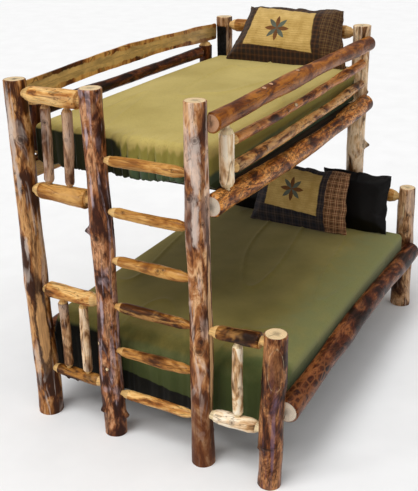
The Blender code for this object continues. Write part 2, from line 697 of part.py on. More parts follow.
def slice_block(shape, axis, places):
    """Edge loops across a block at the given places."""
    normal = [0.0, 0.0, 0.0]
    normal[axis] = 1.0
    for place in places:
        point = [0.0, 0.0, 0.0]
        point[axis] = place
        geometry = shape.verts[:] + shape.edges[:] + shape.faces[:]
        bmesh.ops.bisect_plane(shape, geom=geometry, plane_co=point, plane_no=normal, dist=WELD)


def round_corner(point, half, radius):
    """Moves a point of a block's surface onto the same block with rounded edges."""
    core = Vector([min(max(value, radius - limit), limit - radius) for value, limit in zip(point, half)])
    out = point - core
    if out.length < WELD:
        return point
    return core + out.normalized() * radius


def fold_wave(across, folds):
    """The waves of a hanging cover, from -1 to 1 and somewhat past, across the width from -1 to 1."""
    turn = math.pi * folds * across
    return math.sin(turn + 0.6) + FOLD_SWAY * math.sin(0.6 * turn)


def make_mattress(name, width, edge, bottom, thickness, folds, drop):
    """A covered mattress: crowned top, rounded edges and, at the foot, the folds of the cover.

    drop is how far the cover hangs below the mattress at the foot end.
    """
    half = Vector((width / 2 + edge, BED_LENGTH / 2 - MATTRESS_END_GAP, (thickness + drop) / 2))
    shape = bmesh.new()
    bmesh.ops.create_cube(shape, size=2.0)
    bmesh.ops.scale(shape, vec=half, verts=shape.verts)
    bend = 0.3 * MATTRESS_ROUND
    for axis, count in ((0, COLUMNS_PER_FOLD * folds), (1, MATTRESS_ROWS), (2, 1)):
        inner = half[axis] - MATTRESS_ROUND
        places = [-half[axis] + bend, half[axis] - bend]
        places += [-inner + 2 * inner * step / count for step in range(count + 1)]
        slice_block(shape, axis, places)
    for vert in shape.verts:
        across = vert.co.x / half.x
        along = vert.co.y / half.y
        down = (half.z - vert.co.z) / (2 * half.z)
        place = round_corner(vert.co.copy(), half, MATTRESS_ROUND)
        place.z += MATTRESS_CROWN * (1 - down) * (1 - across ** 2) * (1 - along ** 4)
        if along < -0.9:
            place.y -= FOLD_DEPTH * down * fold_wave(across, folds)
        vert.co = place
    mesh = bpy.data.meshes.new(name)
    shape.to_mesh(mesh)
    shape.free()
    centre = Vector((width / 2, BED_LENGTH / 2, bottom - drop + half.z))
    item = add_object(name, mesh, centre, GREEN)
    if drop > 0:
        low = Vector((-width, MATTRESS_END_GAP + COVER_THICKNESS, bottom - 2 * drop))
        high = Vector((2 * width, 2 * BED_LENGTH, bottom))
        cut(item, add_box(name + "_underside", low, high))
    return item


def make_pillow(name, size, flare, material):
    """A stuffed pillow: crowned on both faces, with its sides drawn in between the corners.

    flare widens it towards its lower edge.
    """
    width, height, thickness = size
    shape = bmesh.new()
    bmesh.ops.create_grid(shape, x_segments=PILLOW_COLUMNS, y_segments=PILLOW_ROWS, size=1.0)
    front = shape.faces[:]
    copy = bmesh.ops.extrude_face_region(shape, geom=front)
    raised = {item for item in copy["geom"] if isinstance(item, bmesh.types.BMVert)}
    for vert in shape.verts:
        u, v = vert.co.x, vert.co.y
        crown = (max(1 - u ** 4, 0.0) * max(1 - v ** 4, 0.0)) ** 0.6
        depth = (PILLOW_RIM + (thickness - PILLOW_RIM) * crown) / 2
        wide = width / 2 * (1 - flare * v)
        drawn_x = 1 - PILLOW_DRAW * (1 - v ** 2)
        drawn_y = 1 - PILLOW_DRAW * (1 - u ** 2)
        vert.co = (wide * u * drawn_x, height / 2 * v * drawn_y, depth if vert in raised else -depth)
    bmesh.ops.recalc_face_normals(shape, faces=shape.faces)
    mesh = bpy.data.meshes.new(name)
    shape.to_mesh(mesh)
    shape.free()
    return add_object(name, mesh, (0.0, 0.0, 0.0), material)


def world_shape(items):
    """Points and faces of the finished objects, in world space."""
    depsgraph = bpy.context.evaluated_depsgraph_get()
    points = []
    faces = []
    for item in items:
        done = item.evaluated_get(depsgraph)
        mesh = done.to_mesh()
        first = len(points)
        points += [done.matrix_world @ vert.co for vert in mesh.vertices]
        faces += [[first + index for index in face.vertices] for face in mesh.polygons]
        done.to_mesh_clear()
    return points, faces


def settle(item, direction, supports, gap):
    """Moves an object in one direction until it lies a gap away from what carries it."""
    bpy.context.view_layer.update()
    own_points, own_faces = world_shape([item])
    other_points, other_faces = world_shape(supports)
    own_tree = BVHTree.FromPolygons(own_points, own_faces)
    other_tree = BVHTree.FromPolygons(other_points, other_faces)
    hits = [other_tree.ray_cast(point, direction)[3] for point in own_points]
    hits += [own_tree.ray_cast(point, -direction)[3] for point in other_points]
    clear = 0.0
    touching = min(distance for distance in hits if distance is not None) + gap
    while touching - clear > WELD:
        middle = (clear + touching) / 2
        moved = BVHTree.FromPolygons([point + direction * middle for point in own_points], own_faces)
        if moved.overlap(other_tree):
            touching = middle
        else:
            clear = middle
    item.location += direction * (clear - gap)
    bpy.context.view_layer.update()


def lean_pillow(item, x, lean, bed_top, bed, backing):
    """Stands a pillow on a mattress and leans it back on what is behind it."""
    item.rotation_euler.x = math.radians(90 - lean)
    start_height = bed_top + PILLOW_START_HEIGHT + item.dimensions.y / 2
    item.location = Vector((x, BED_LENGTH - PILLOW_START_DISTANCE, start_height))
    settle(item, -UP, [bed], CLEARANCE)
    settle(item, BACK, backing, PILLOW_LEAN_GAP)
    settle(item, -UP, [bed] + backing, CLEARANCE)


def make_bedding():
    upper_bottom = make_deck("deck_upper", UPPER_WIDTH, UPPER_LEDGE_HEIGHT) + CLEARANCE
    lower_bottom = make_deck("deck_lower", LOWER_WIDTH, LOWER_LEDGE_HEIGHT) + CLEARANCE
    upper = make_mattress("mattress_upper", UPPER_WIDTH, UPPER_MATTRESS_EDGE, upper_bottom,
                          UPPER_MATTRESS_THICKNESS, UPPER_FOLDS, 0.0)
    lower = make_mattress("mattress_lower", LOWER_WIDTH, LOWER_MATTRESS_EDGE, lower_bottom,
                          LOWER_MATTRESS_THICKNESS, LOWER_FOLDS, LOWER_COVER_DROP)
    upper_top = upper_bottom + UPPER_MATTRESS_THICKNESS + MATTRESS_CROWN
    lower_top = lower_bottom + LOWER_MATTRESS_THICKNESS + MATTRESS_CROWN
    head = [item for item in PARTS.objects if item.name.startswith(("head_", "post_head"))]
    plaid = make_pillow("pillow_upper_plaid", UPPER_PILLOW_SIZE, UPPER_PILLOW_FLARE, PLAID)
    lean_pillow(plaid, UPPER_WIDTH / 2 + UPPER_PILLOW_OFFSET, UPPER_PILLOW_LEAN, upper_top, upper, head)
    right = make_pillow("pillow_leather_right", LEATHER_PILLOW_SIZE, 0.0, LEATHER)
    lean_pillow(right, LOWER_WIDTH - LEATHER_PILLOW_MARGIN, LEATHER_PILLOW_LEAN, lower_top, lower, head)
    left = make_pillow("pillow_leather_left", LEATHER_PILLOW_SIZE, 0.0, LEATHER)
    lean_pillow(left, LEATHER_PILLOW_MARGIN, LEATHER_PILLOW_LEAN, lower_top, lower, head)
    front = make_pillow("pillow_lower_plaid", LOWER_PILLOW_SIZE, LOWER_PILLOW_FLARE, PLAID)
    lean_pillow(front, LOWER_WIDTH / 2 + LOWER_PILLOW_OFFSET, LOWER_PILLOW_LEAN, lower_top, lower,
                head + [left, right])


def centre_on_floor():
    """Puts the middle of the footprint on the origin."""
    items = [item for item in PARTS.objects if item.type == "MESH"]
    points, _ = world_shape(items)
    for axis in (0, 1):
        values = [point[axis] for point in points]
        ROOT.location[axis] = -(min(values) + max(values)) / 2
    bpy.context.view_layer.update()


def build():
    posts = make_posts()
    make_foot_end(posts)
    make_ladder(posts)
    make_head_end(posts)
    rails = make_side_rails(posts)
    make_front_guard(posts, rails["upper_front"])
    make_back_guard(posts, rails["upper_back"])
    make_plate(posts["head_wall"])
    make_bedding()
    centre_on_floor()


build()
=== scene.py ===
"""Looks of the log bunk bed: weathered log skins, soft bedding and a plain studio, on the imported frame.

Metres, +Z up, in the frame of the CAD. +X is the front of the bed, -Y its foot end with the ladder.
"""

import math
import random
from typing import NamedTuple

import bmesh
import bpy
import numpy as np
from mathutils import Matrix, Vector, noise
from mathutils.bvhtree import BVHTree


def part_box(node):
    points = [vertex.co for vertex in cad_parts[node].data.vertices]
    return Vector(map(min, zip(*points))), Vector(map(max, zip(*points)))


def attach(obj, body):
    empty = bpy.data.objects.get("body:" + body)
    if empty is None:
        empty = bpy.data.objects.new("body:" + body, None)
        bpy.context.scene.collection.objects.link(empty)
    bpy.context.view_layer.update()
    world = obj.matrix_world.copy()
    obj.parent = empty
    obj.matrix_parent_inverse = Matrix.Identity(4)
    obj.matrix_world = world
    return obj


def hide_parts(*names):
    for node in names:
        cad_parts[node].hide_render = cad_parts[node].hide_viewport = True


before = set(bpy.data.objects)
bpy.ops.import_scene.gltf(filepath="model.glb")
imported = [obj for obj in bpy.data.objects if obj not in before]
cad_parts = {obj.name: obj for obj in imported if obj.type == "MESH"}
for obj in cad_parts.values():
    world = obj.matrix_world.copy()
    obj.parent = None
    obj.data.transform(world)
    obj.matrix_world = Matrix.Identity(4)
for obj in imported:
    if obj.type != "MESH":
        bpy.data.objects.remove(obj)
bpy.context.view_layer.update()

# Camera, matched to the photograph
CAMERA_PLACE = Vector((1.9328, -3.8664, 2.6343))
CAMERA_YAW = 29.255
CAMERA_PITCH = 24.043
CAMERA_ROLL = -1.05
FOCAL_PIXELS = 808.9
IMAGE_HEIGHT = 491
SENSOR = 36.0

# Studio: each light has a direction that it comes from, a strength and a spread in degrees
SURROUND_STRENGTH = 0.38
FLOOR_REACH = 60.0
SUNS = {"key": ((-0.2, -0.7, 1.5), 1.7, 30.0),
        "top": ((0.5, -0.1, 1.4), 0.75, 60.0),
        "side": ((-0.75, -0.8, 0.35), 0.45, 12.0)}

# Less than this counts as nothing
TINY = 1e-6

# Tracing of the CAD logs
THICK_SPACING = 0.0095
THIN_SPACING = 0.0085
RING_STEP = 0.0006
RING_SPACING = 0.0015
END_ZONE = 0.13
FIT_ROUNDS = 4
FIT_SLACK = 0.002
FEWEST_HITS = 6

# Relief of the log skins
THICK_SEGMENTS = 56
RAIL_SEGMENTS = 40
SPINDLE_SEGMENTS = 32
LUMP = 0.0048
LUMP_SCALE = 9.0
ROUGH = 0.0014
ROUGH_SCALE = 34.0
ALONG_STRETCH = 0.35
PARED_RELIEF = 0.45
LUMP_SHARES = (("side_rail", 1.8), ("post_ladder_left", 1.6), ("guard_front_mid", 1.6))
THICK_KNOTS = 7
THIN_KNOTS = 3
KNOT_COUNTS = {"post_ladder_left": 26, "guard_front_mid_1": 9, "guard_front_mid_2": 9}
PARED_SHARE = 0.93
CAP_SHARES = (0.985, 0.9, 0.72, 0.5, 0.25)
CAP_RELIEF = 0.0006
LIVE_EDGE = 0.78
LIVE_EDGE_SOFT = 0.3
CLEAR = 0.002
LOG_SHARP = 55.0

# Screws of the steel plate
SCREW_DOME = ((0.0058, 0.0), (0.0056, 0.001), (0.005, 0.0017), (0.004, 0.0023), (0.003, 0.0027),
              (0.002, 0.0029), (0.001, 0.003))
SCREW_SEGMENTS = 24
SCREW_SLOT = 0.0042
SCREW_SLOT_DEPTH = 0.0012
SCREW_ACROSS = 0.019
SCREW_UP = 0.078
SCREW_SHARP = 35.0

# Covered mattresses
COVER_ROUND = 0.032
SOFT_ROUND = 0.105
COVER_CROWN = 0.022
COVER_THICKNESS = 0.024
COVER_LIP = 0.006
COVER_COLUMN = 0.0095
COVER_ROW = 0.0135
COVER_SHARP = 80.0
FOLD_REACH = 0.0126
FOOT_ZONE = 1.5 * COVER_THICKNESS
TOP_WAVE = 0.006
TOP_WAVE_REACH = 0.06
RIPPLE = 0.0065
CREASE = 0.01
CREASE_WIDTH = 0.035

# Pillows
PILLOW_VOXEL = 0.009
LEATHER_VOXEL = 1.1 * PILLOW_VOXEL
PILLOW_WELD = 1e-5
PILLOW_FLATTEN = 0.6
PILLOW_CLOTH = {"quality": 5, "mass": 0.25, "tension_stiffness": 20.0, "compression_stiffness": 20.0,
                "shear_stiffness": 8.0, "bending_stiffness": 0.4, "use_pressure": True,
                "uniform_pressure_force": 4.0}
PILLOW_FRAMES = 18
PILLOW_CAP = 0.03
PILLOW_PROUD = 0.003
PILLOW_HOLD = 0.8
PUCKER = 0.0045
PUCKER_SCALE = 42.0
PUFF = 0.004
EDGE_WAVE = 0.018
EDGE_WAVE_SCALE = 11.0
EDGE_WAVE_REACH = 0.2
CORNER_TUCK = 0.012
EDGE_SAG = 0.02
OUTLINE_STEPS = 25

# Patchwork of the pillow cases
PANEL_TILT = 0.13
BORDER_PERIOD = 0.031
STRIP_PERIOD = 0.022
PANEL_ROWS = 420.0
STAR_REACH = 0.082
STAR_DRAW = 0.047
MASK_SOFT = 0.012


def colour(tone, share=1.0):
    """A linear colour from screen values of 0 to 255, darkened to a share."""
    parts = [value * share / 255 for value in tone]
    linear = [part / 12.92 if part <= 0.04045 else ((part + 0.055) / 1.055) ** 2.4 for part in parts]
    return (*linear, 1.0)


class Value:
    """What a node of a shader gives, with the sums that can be made of it."""

    def __init__(self, shader, socket):
        self.shader = shader
        self.socket = socket

    def math(self, operation, other=0.0):
        return self.shader.math(operation, self, other)

    def __add__(self, other):
        return self.math("ADD", other)

    def __sub__(self, other):
        return self.math("SUBTRACT", other)

    def __rsub__(self, other):
        return self.shader.math("SUBTRACT", other, self)

    def __mul__(self, other):
        return self.math("MULTIPLY", other)

    def around(self, share):
        """How far a noise is from its middle, times a share."""
        return (self - 0.5) * share

    def fade(self, low, high):
        """A mask that goes from 0 at low to 1 at high."""
        inputs = {"Value": self, "From Min": low, "From Max": high}
        return self.shader.node("MapRange", inputs, interpolation_type="SMOOTHSTEP")

    def between(self, low, high):
        """A mask that is 1 between low and high."""
        rise = self.fade(low - MASK_SOFT, low + MASK_SOFT)
        return rise - self.fade(high - MASK_SOFT, high + MASK_SOFT)

    def ramp(self, stops, interpolation="LINEAR"):
        """Colours, or greys given as plain numbers, at places along the value."""
        result = self.shader.node("ValToRGB", {0: self})
        ramp = result.socket.node.color_ramp
        ramp.interpolation = interpolation
        while len(ramp.elements) < len(stops):
            ramp.elements.new(0.5)
        for element, (position, tone) in zip(ramp.elements, stops):
            element.position = position
            element.color = tone if isinstance(tone, tuple) else (tone, tone, tone, 1.0)
        return result


class Shader:
    """A material under construction, with short calls for the nodes it needs."""

    def __init__(self, name, **surface):
        self.material = bpy.data.materials.new(name)
        self.material.use_nodes = True
        self.tree = self.material.node_tree
        self.surface = self.tree.nodes["Principled BSDF"]
        for socket, value in surface.items():
            self.surface.inputs[socket.replace("_", " ")].default_value = value

    def put(self, target, value):
        """Links a value to the target, or sets a plain number or colour on it."""
        if isinstance(value, Value):
            self.tree.links.new(value.socket, target)
        else:
            target.default_value = value

    def node(self, kind, inputs, output=0, **settings):
        """What a new node gives at one of its outputs."""
        made = self.tree.nodes.new("ShaderNode" + kind)
        for setting, value in settings.items():
            setattr(made, setting, value)
        for socket, value in inputs.items():
            self.put(made.inputs[socket], value)
        return Value(self, made.outputs[output])

    def math(self, operation, first, second):
        return self.node("Math", {0: first, 1: second}, operation=operation)

    def mix(self, factor, first, second):
        return self.node("Mix", {0: factor, 6: first, 7: second}, 2, data_type="RGBA")

    def position(self):
        return self.node("TexCoord", {}, "Object")

    def attribute(self, name):
        return self.node("Attribute", {}, "Vector", attribute_name=name)

    def split(self, vector):
        parts = self.node("SeparateXYZ", {0: vector}).socket.node.outputs
        return [Value(self, part) for part in parts]

    def stretched(self, vector, scale, stretch):
        """The vector scaled, with its third part, which runs along the grain, scaled less."""
        return self.node("Mapping", {"Vector": vector, "Scale": (scale, scale, scale * stretch)})

    def noise(self, vector, scale, stretch=1.0, detail=3.0, roughness=0.55, distortion=0.0):
        inputs = {"Vector": self.stretched(vector, scale, stretch), "Scale": 1.0, "Detail": detail,
                  "Roughness": roughness, "Distortion": distortion}
        return self.node("TexNoise", inputs)

    def cells(self, vector, scale):
        """How far a place is from the wall of the cell that holds it."""
        inputs = {"Vector": vector, "Scale": scale}
        return self.node("TexVoronoi", inputs, "Distance", feature="DISTANCE_TO_EDGE")

    def bump(self, height, strength, distance):
        inputs = {"Strength": strength, "Distance": distance, "Height": height}
        self.put(self.surface.inputs["Normal"], self.node("Bump", inputs))

    def finish(self, base, roughness):
        self.put(self.surface.inputs["Base Color"], base)
        self.put(self.surface.inputs["Roughness"], roughness)
        return self.material


def log_material(name, look):
    """Varnished log: marbled bark with pale streaks that are partly painted sheen of the varnish, blotches,
    flecks, cracks, knots and places without bark.
    """
    shader = Shader(name, Specular_IOR_Level=0.12, Coat_Weight=0.07, Coat_Roughness=0.22)
    grain = shader.attribute("grain")
    pared, knot, scar = shader.split(shader.attribute("skin"))
    dark = colour(look.dark)
    deep = colour(look.dark, look.deep)
    patches = shader.noise(grain, 12.0, 0.42, 4.0, 0.58, 0.9)
    fine = shader.noise(grain, 70.0, 0.2, 4.0, 0.6, 0.6)
    tone = patches * 0.84 + fine * 0.16
    base = tone.ramp([(0.36, deep), (0.43, dark), (0.5, colour(look.middle)), (0.57, colour(look.light)),
                      (0.66, colour(look.middle))])
    long = shader.noise(grain, 28.0, 0.1, 3.0, 0.55, 0.7)
    broad = shader.noise(grain, 8.0, 0.4, 3.0, 0.6, 1.0)
    # Pale lilac-grey streaks: partly the bark's own colour, partly painted sheen of the varnish
    pale = (long.fade(0.56, 0.64) + broad.fade(0.55, 0.66)).math("MINIMUM", 1.0)
    base = shader.mix(pale * look.streaks, base, colour(look.streak))
    base = shader.mix(long.fade(0.44, 0.36) * 0.5, base, dark)
    base = shader.mix(broad.fade(0.42, 0.32) * 0.4, base, dark)
    if look.mottle:
        blot = shader.noise(grain, look.cell, 0.5, 2.0, 0.5, 1.0)
        base = shader.mix(blot.fade(0.5, 0.57) * look.mottle, base, deep)
    specks = shader.noise(grain, 85.0, 0.34, 3.0, 0.6, 0.5)
    base = shader.mix(specks.fade(0.6, 0.65) * look.flecks, base, deep)
    bend = shader.noise(grain, 15.0, 0.12, 3.0, 0.55, 0.8)
    crack = (bend - 0.5).math("ABSOLUTE").fade(0.012, 0.004)
    base = shader.mix(crack * 0.6, base, deep)
    from_start = shader.split(shader.attribute("along"))[0] + patches.around(0.2)
    if look.foot:
        base = shader.mix(from_start.fade(look.foot, look.foot - 0.1) * 0.7, base, dark)
    if look.net:
        walls = shader.cells(shader.stretched(grain, 36.0, 0.5), 1.0) + fine.around(0.3)
        netted = walls.fade(0.2, 0.02) * from_start.fade(look.net, look.net - 0.16)
        base = shader.mix(netted * 0.6, base, colour(look.light))
    base = marked(shader, base, grain, look)
    peeled = (pared + torn(shader, grain, 28.0, 0.5, 0.9)).fade(0.42, 0.56)
    base = shader.mix(peeled, base, peeled_wood(shader, grain, look.pared))
    base = scarred(shader, base, grain, scar, look)
    knotted = knot + specks.around(0.4)
    rings = knotted.ramp([(0.2, 0.0), (0.36, 0.5), (0.5, 0.12), (0.64, 0.45), (0.78, 0.75)])
    base = shader.mix(rings, base, colour(look.dark, 0.4))
    base = sawn_end(shader, base, grain, look)
    shader.bump(patches * 0.6 + fine * 0.3 - crack * 0.25, 0.7, 0.006)
    return shader.finish(base, tone.ramp([(0.38, 0.46), (0.6, 0.3)]))


def torn(shader, grain, scale, stretch, spread):
    """A wander that tears the edge of a mask."""
    return shader.noise(grain, scale, stretch, 4.0, 0.65).around(spread)


def peeled_wood(shader, grain, pale):
    """Wood without its bark, with fine grain and warmer patches."""
    fine = shader.noise(grain, 230.0, 0.04, 2.0, 0.5)
    warm = shader.noise(grain, 30.0, 0.3, 3.0, 0.6)
    wood = fine.ramp([(0.35, colour(pale, 0.8)), (0.6, colour(pale))])
    return shader.mix(warm.fade(0.45, 0.65) * 0.4, wood, colour(pale, 0.68))


def marked(shader, base, grain, look):
    """Pale marks that are partly painted sheen, blue staining, ovals with a broken pale outline, and long
    bare patches inside a dark lip.
    """
    oval, bare, stain_and_sheen = shader.split(shader.attribute("marks"))
    edge = torn(shader, grain, 26.0, 0.4, 0.6)
    # Marks in the streak colour: the pale ones are partly painted sheen of the varnish
    base = shader.mix((stain_and_sheen + edge * 2.2).fade(0.36, 0.7) * 0.6, base, colour(look.streak))
    ringed = oval + edge * 0.35
    base = shader.mix(ringed.fade(0.45, 0.6) * 0.6, base, colour(look.middle, 0.8))
    outline = ringed.between(0.42, 0.46) * edge.fade(-0.06, 0.04)
    base = shader.mix(outline * 0.6, base, colour(look.pale, 0.8))
    worn = bare + edge
    base = shader.mix(worn.fade(0.12, 0.38) * 0.85, base, colour(look.dark, 0.65))
    return shader.mix(worn.fade(0.43, 0.58), base, peeled_wood(shader, grain, look.light))


def scarred(shader, base, grain, scar, look):
    """Old scars: pale wood inside a dark lip."""
    worn = scar + torn(shader, grain, 30.0, 0.5, 0.45)
    base = shader.mix(worn.fade(0.3, 0.4), base, colour(look.dark, 0.6))
    return shader.mix(worn.fade(0.44, 0.5), base, peeled_wood(shader, grain, look.pale))


def sawn_end(shader, base, grain, look):
    """End grain on the sawn faces: rings, a darker heart, a bark rim and a drying crack."""
    share, sawn, check = shader.split(shader.attribute("end"))
    wobble = shader.noise(grain, 60.0, 1.0, 2.0)
    rings = (share * 62.0 + wobble * 9.0).math("SINE").fade(-1.0, 1.0)
    disc = rings.ramp([(0.0, colour(look.pale, 0.82)), (0.6, colour(look.pale))])
    heart = (share + wobble * 0.5).fade(0.3, 0.85)
    disc = shader.mix(heart, colour(look.pale, look.heart), disc)
    disc = shader.mix(share.fade(0.93, 0.975), disc, colour(look.middle))
    disc = shader.mix(check.fade(0.4, 0.8), disc, colour(look.dark, 0.5))
    return shader.mix(sawn.fade(0.35, 0.65), base, disc)


def steel_material(name):
    """Blackened steel: satin, with fine scratches and paler worn spots."""
    shader = Shader(name, Metallic=0.8)
    position = shader.position()
    scratches = shader.noise(position, 420.0, 0.05, 2.0)
    wear = shader.noise(position, 60.0, 1.0, 4.0, 0.65)
    base = wear.ramp([(0.4, colour((20, 19, 19))), (0.68, colour((46, 44, 43)))])
    shader.bump(scratches + wear, 0.2, 0.0008)
    return shader.finish(base, scratches.ramp([(0.3, 0.52), (0.7, 0.36)]))


def plywood_material(name):
    """Dark plywood with its face grain along the bed."""
    shader = Shader(name, Specular_IOR_Level=0.2)
    x, y, z = shader.split(shader.position())
    turned = shader.node("CombineXYZ", {0: x, 1: z, 2: y})
    grain = shader.noise(turned, 46.0, 0.05, 4.0, 0.6, 0.8)
    pores = shader.noise(turned, 320.0, 0.04, 2.0)
    base = grain.ramp([(0.36, colour((30, 22, 15))), (0.62, colour((56, 42, 30)))])
    base = shader.mix(pores.fade(0.52, 0.66) * 0.5, base, colour((20, 14, 9)))
    shader.bump(grain + pores, 0.3, 0.001)
    return shader.finish(base, pores.ramp([(0.3, 0.6), (0.7, 0.78)]))


def cover_material(name, light, shade, painted_shading_tints):
    """Plain cotton with a fine weave, paler where it is worn, greener and darker where it hangs: painted
    shade, with painted light on fold crests and at the lower cover's front edge, and black painted shadow
    below the lower hem.
    """
    shader = Shader(name, Sheen_Weight=0.15, Sheen_Roughness=0.45, Specular_IOR_Level=0.12)
    position = shader.position()
    base = shader.noise(position, 2.6, 1.0, 4.0).ramp([(0.32, colour(shade)), (0.68, colour(light))])
    folds = shader.noise(position, 14.0, 0.3, 3.0).around(0.5)
    # Painted shading: each share mixes in a greener, darker or black cloth colour that stands for light and
    # shade
    for share, painted_shading in zip(shader.split(shader.attribute("painted_shading")), painted_shading_tints):
        base = shader.mix((share + folds).fade(0.2, 0.8), base, colour(painted_shading))
    threads = shader.noise(position, 900.0, 1.0, 2.0)
    slubs = shader.noise(position, 160.0, 0.2, 2.0)
    base = shader.mix(slubs.fade(0.5, 0.75) * 0.2, base, colour(shade, 0.5))
    shader.bump(threads * 0.5 + slubs * 0.5, 0.25, 0.0012)
    return shader.finish(base, threads.ramp([(0.3, 0.95), (0.7, 0.78)]))


def stripes(value, period, tones):
    """Bands of colour that repeat and mirror."""
    share = value.math("PINGPONG", period).math("DIVIDE", period)
    return share.ramp([(index / len(tones), colour(tone)) for index, tone in enumerate(tones)], "CONSTANT")


def plaid(shader, across, up, period, tones):
    """Two sets of bands woven into each other."""
    return shader.mix(0.5, stripes(across, period, tones), stripes(up, period * 0.92, tones))


def pieced_star(shader, cream, across, up, tone):
    """An eight-point star of two cloths, sewn onto the cream panel."""
    reach = (across.math("POWER", 2.0) + up.math("POWER", 2.0)).math("SQRT")
    bearing = up.math("ARCTAN2", across) + math.pi
    limit = STAR_REACH - bearing.math("PINGPONG", math.pi / 8) * (STAR_DRAW * 8 / math.pi)
    star = (limit - reach).fade(-0.0012, 0.0012)
    parity = (bearing * 4.0).math("COSINE").fade(-0.15, 0.15)
    patch = shader.mix(parity, colour((92, 98, 84)), colour((112, 70, 34)))
    patch = shader.mix(tone.fade(0.4, 0.7) * 0.35, patch, colour((70, 46, 26)))
    return shader.mix(star, cream, patch)


def sham_material(name, panel, star_place, border, strip):
    """Patchwork pillow case: a quilted cream panel with a star, plaid borders and a wider plaid strip."""
    shader = Shader(name, Sheen_Weight=0.15, Specular_IOR_Level=0.15)
    cloth = shader.attribute("cloth")
    across, up, _ = shader.split(cloth)
    share_across, share_up, side = shader.split(shader.attribute("panel"))
    wobble = shader.noise(cloth, 22.0).around(0.05)
    share_across = share_across + wobble
    share_up = share_up + wobble + share_across * PANEL_TILT
    left, right, low, high = panel
    on_panel = share_across.between(left, right) * share_up.between(low, high) * side.fade(-0.2, 0.2)
    on_strip = share_across.fade(right + 0.13, right + 0.15)
    base = shader.mix(on_strip, plaid(shader, across, up, BORDER_PERIOD, border),
                      plaid(shader, across, up, STRIP_PERIOD, strip))
    tone = shader.noise(cloth, 16.0, 1.0, 4.0)
    rows = (up * PANEL_ROWS + tone * 9.0).math("SINE")
    cream = tone.ramp([(0.3, colour((178, 144, 76))), (0.65, colour((206, 172, 104)))])
    cream = shader.mix(rows.fade(0.55, 1.0) * 0.35, cream, colour((168, 132, 70)))
    cream = pieced_star(shader, cream, across - star_place[0], up - star_place[1], tone)
    base = shader.mix(on_panel, base, cream)
    seam = 1.0 - (on_panel * 2.0 - 1.0).math("ABSOLUTE")
    base = shader.mix(seam * 0.6, base, colour((40, 24, 12)))
    twill = shader.noise(cloth, 700.0, 1.0, 2.0)
    base = shader.mix(twill.fade(0.5, 0.7) * 0.25, base, colour((34, 22, 14)))
    shader.bump(rows * on_panel * -0.3 + twill * 0.3 - seam * 0.8, 0.5, 0.003)
    return shader.finish(base, twill.ramp([(0.3, 0.92), (0.7, 0.75)]))


def leather_material(name):
    """Dark smooth leather with a fine pebble and worn folds."""
    shader = Shader(name, Specular_IOR_Level=0.18)
    cloth = shader.attribute("cloth")
    base = shader.noise(cloth, 9.0, 1.0, 4.0).ramp([(0.35, colour((5, 3, 2))), (0.7, colour((13, 9, 8)))])
    pebble = shader.cells(cloth, 420.0).fade(0.0, 0.35)
    creases = shader.noise(cloth, 26.0, 0.4, 4.0, 0.6, 1.2)
    shader.bump(pebble * 0.25 + creases, 0.45, 0.003)
    return shader.finish(base, creases.ramp([(0.35, 0.5), (0.7, 0.32)]))


def floor_material(name):
    """Matt pale floor with a faint cloudiness."""
    shader = Shader(name)
    tone = shader.noise(shader.position(), 3.0, 1.0, 3.0)
    return shader.finish(tone.ramp([(0.3, 0.84), (0.7, 0.88)]), 0.85)


class LogLook(NamedTuple):
    """Screen colours of a log, and how strongly each kind of mark shows on it."""
    dark: tuple
    middle: tuple
    light: tuple
    # The streak colour and its strength are partly painted sheen of the varnish
    streak: tuple
    pale: tuple = (242, 212, 164)
    pared: tuple = (236, 190, 122)
    streaks: float = 0.5
    flecks: float = 0.4
    mottle: float = 0.0
    cell: float = 48.0
    heart: float = 0.72
    deep: float = 0.55
    foot: float = 0.0
    net: float = 0.0


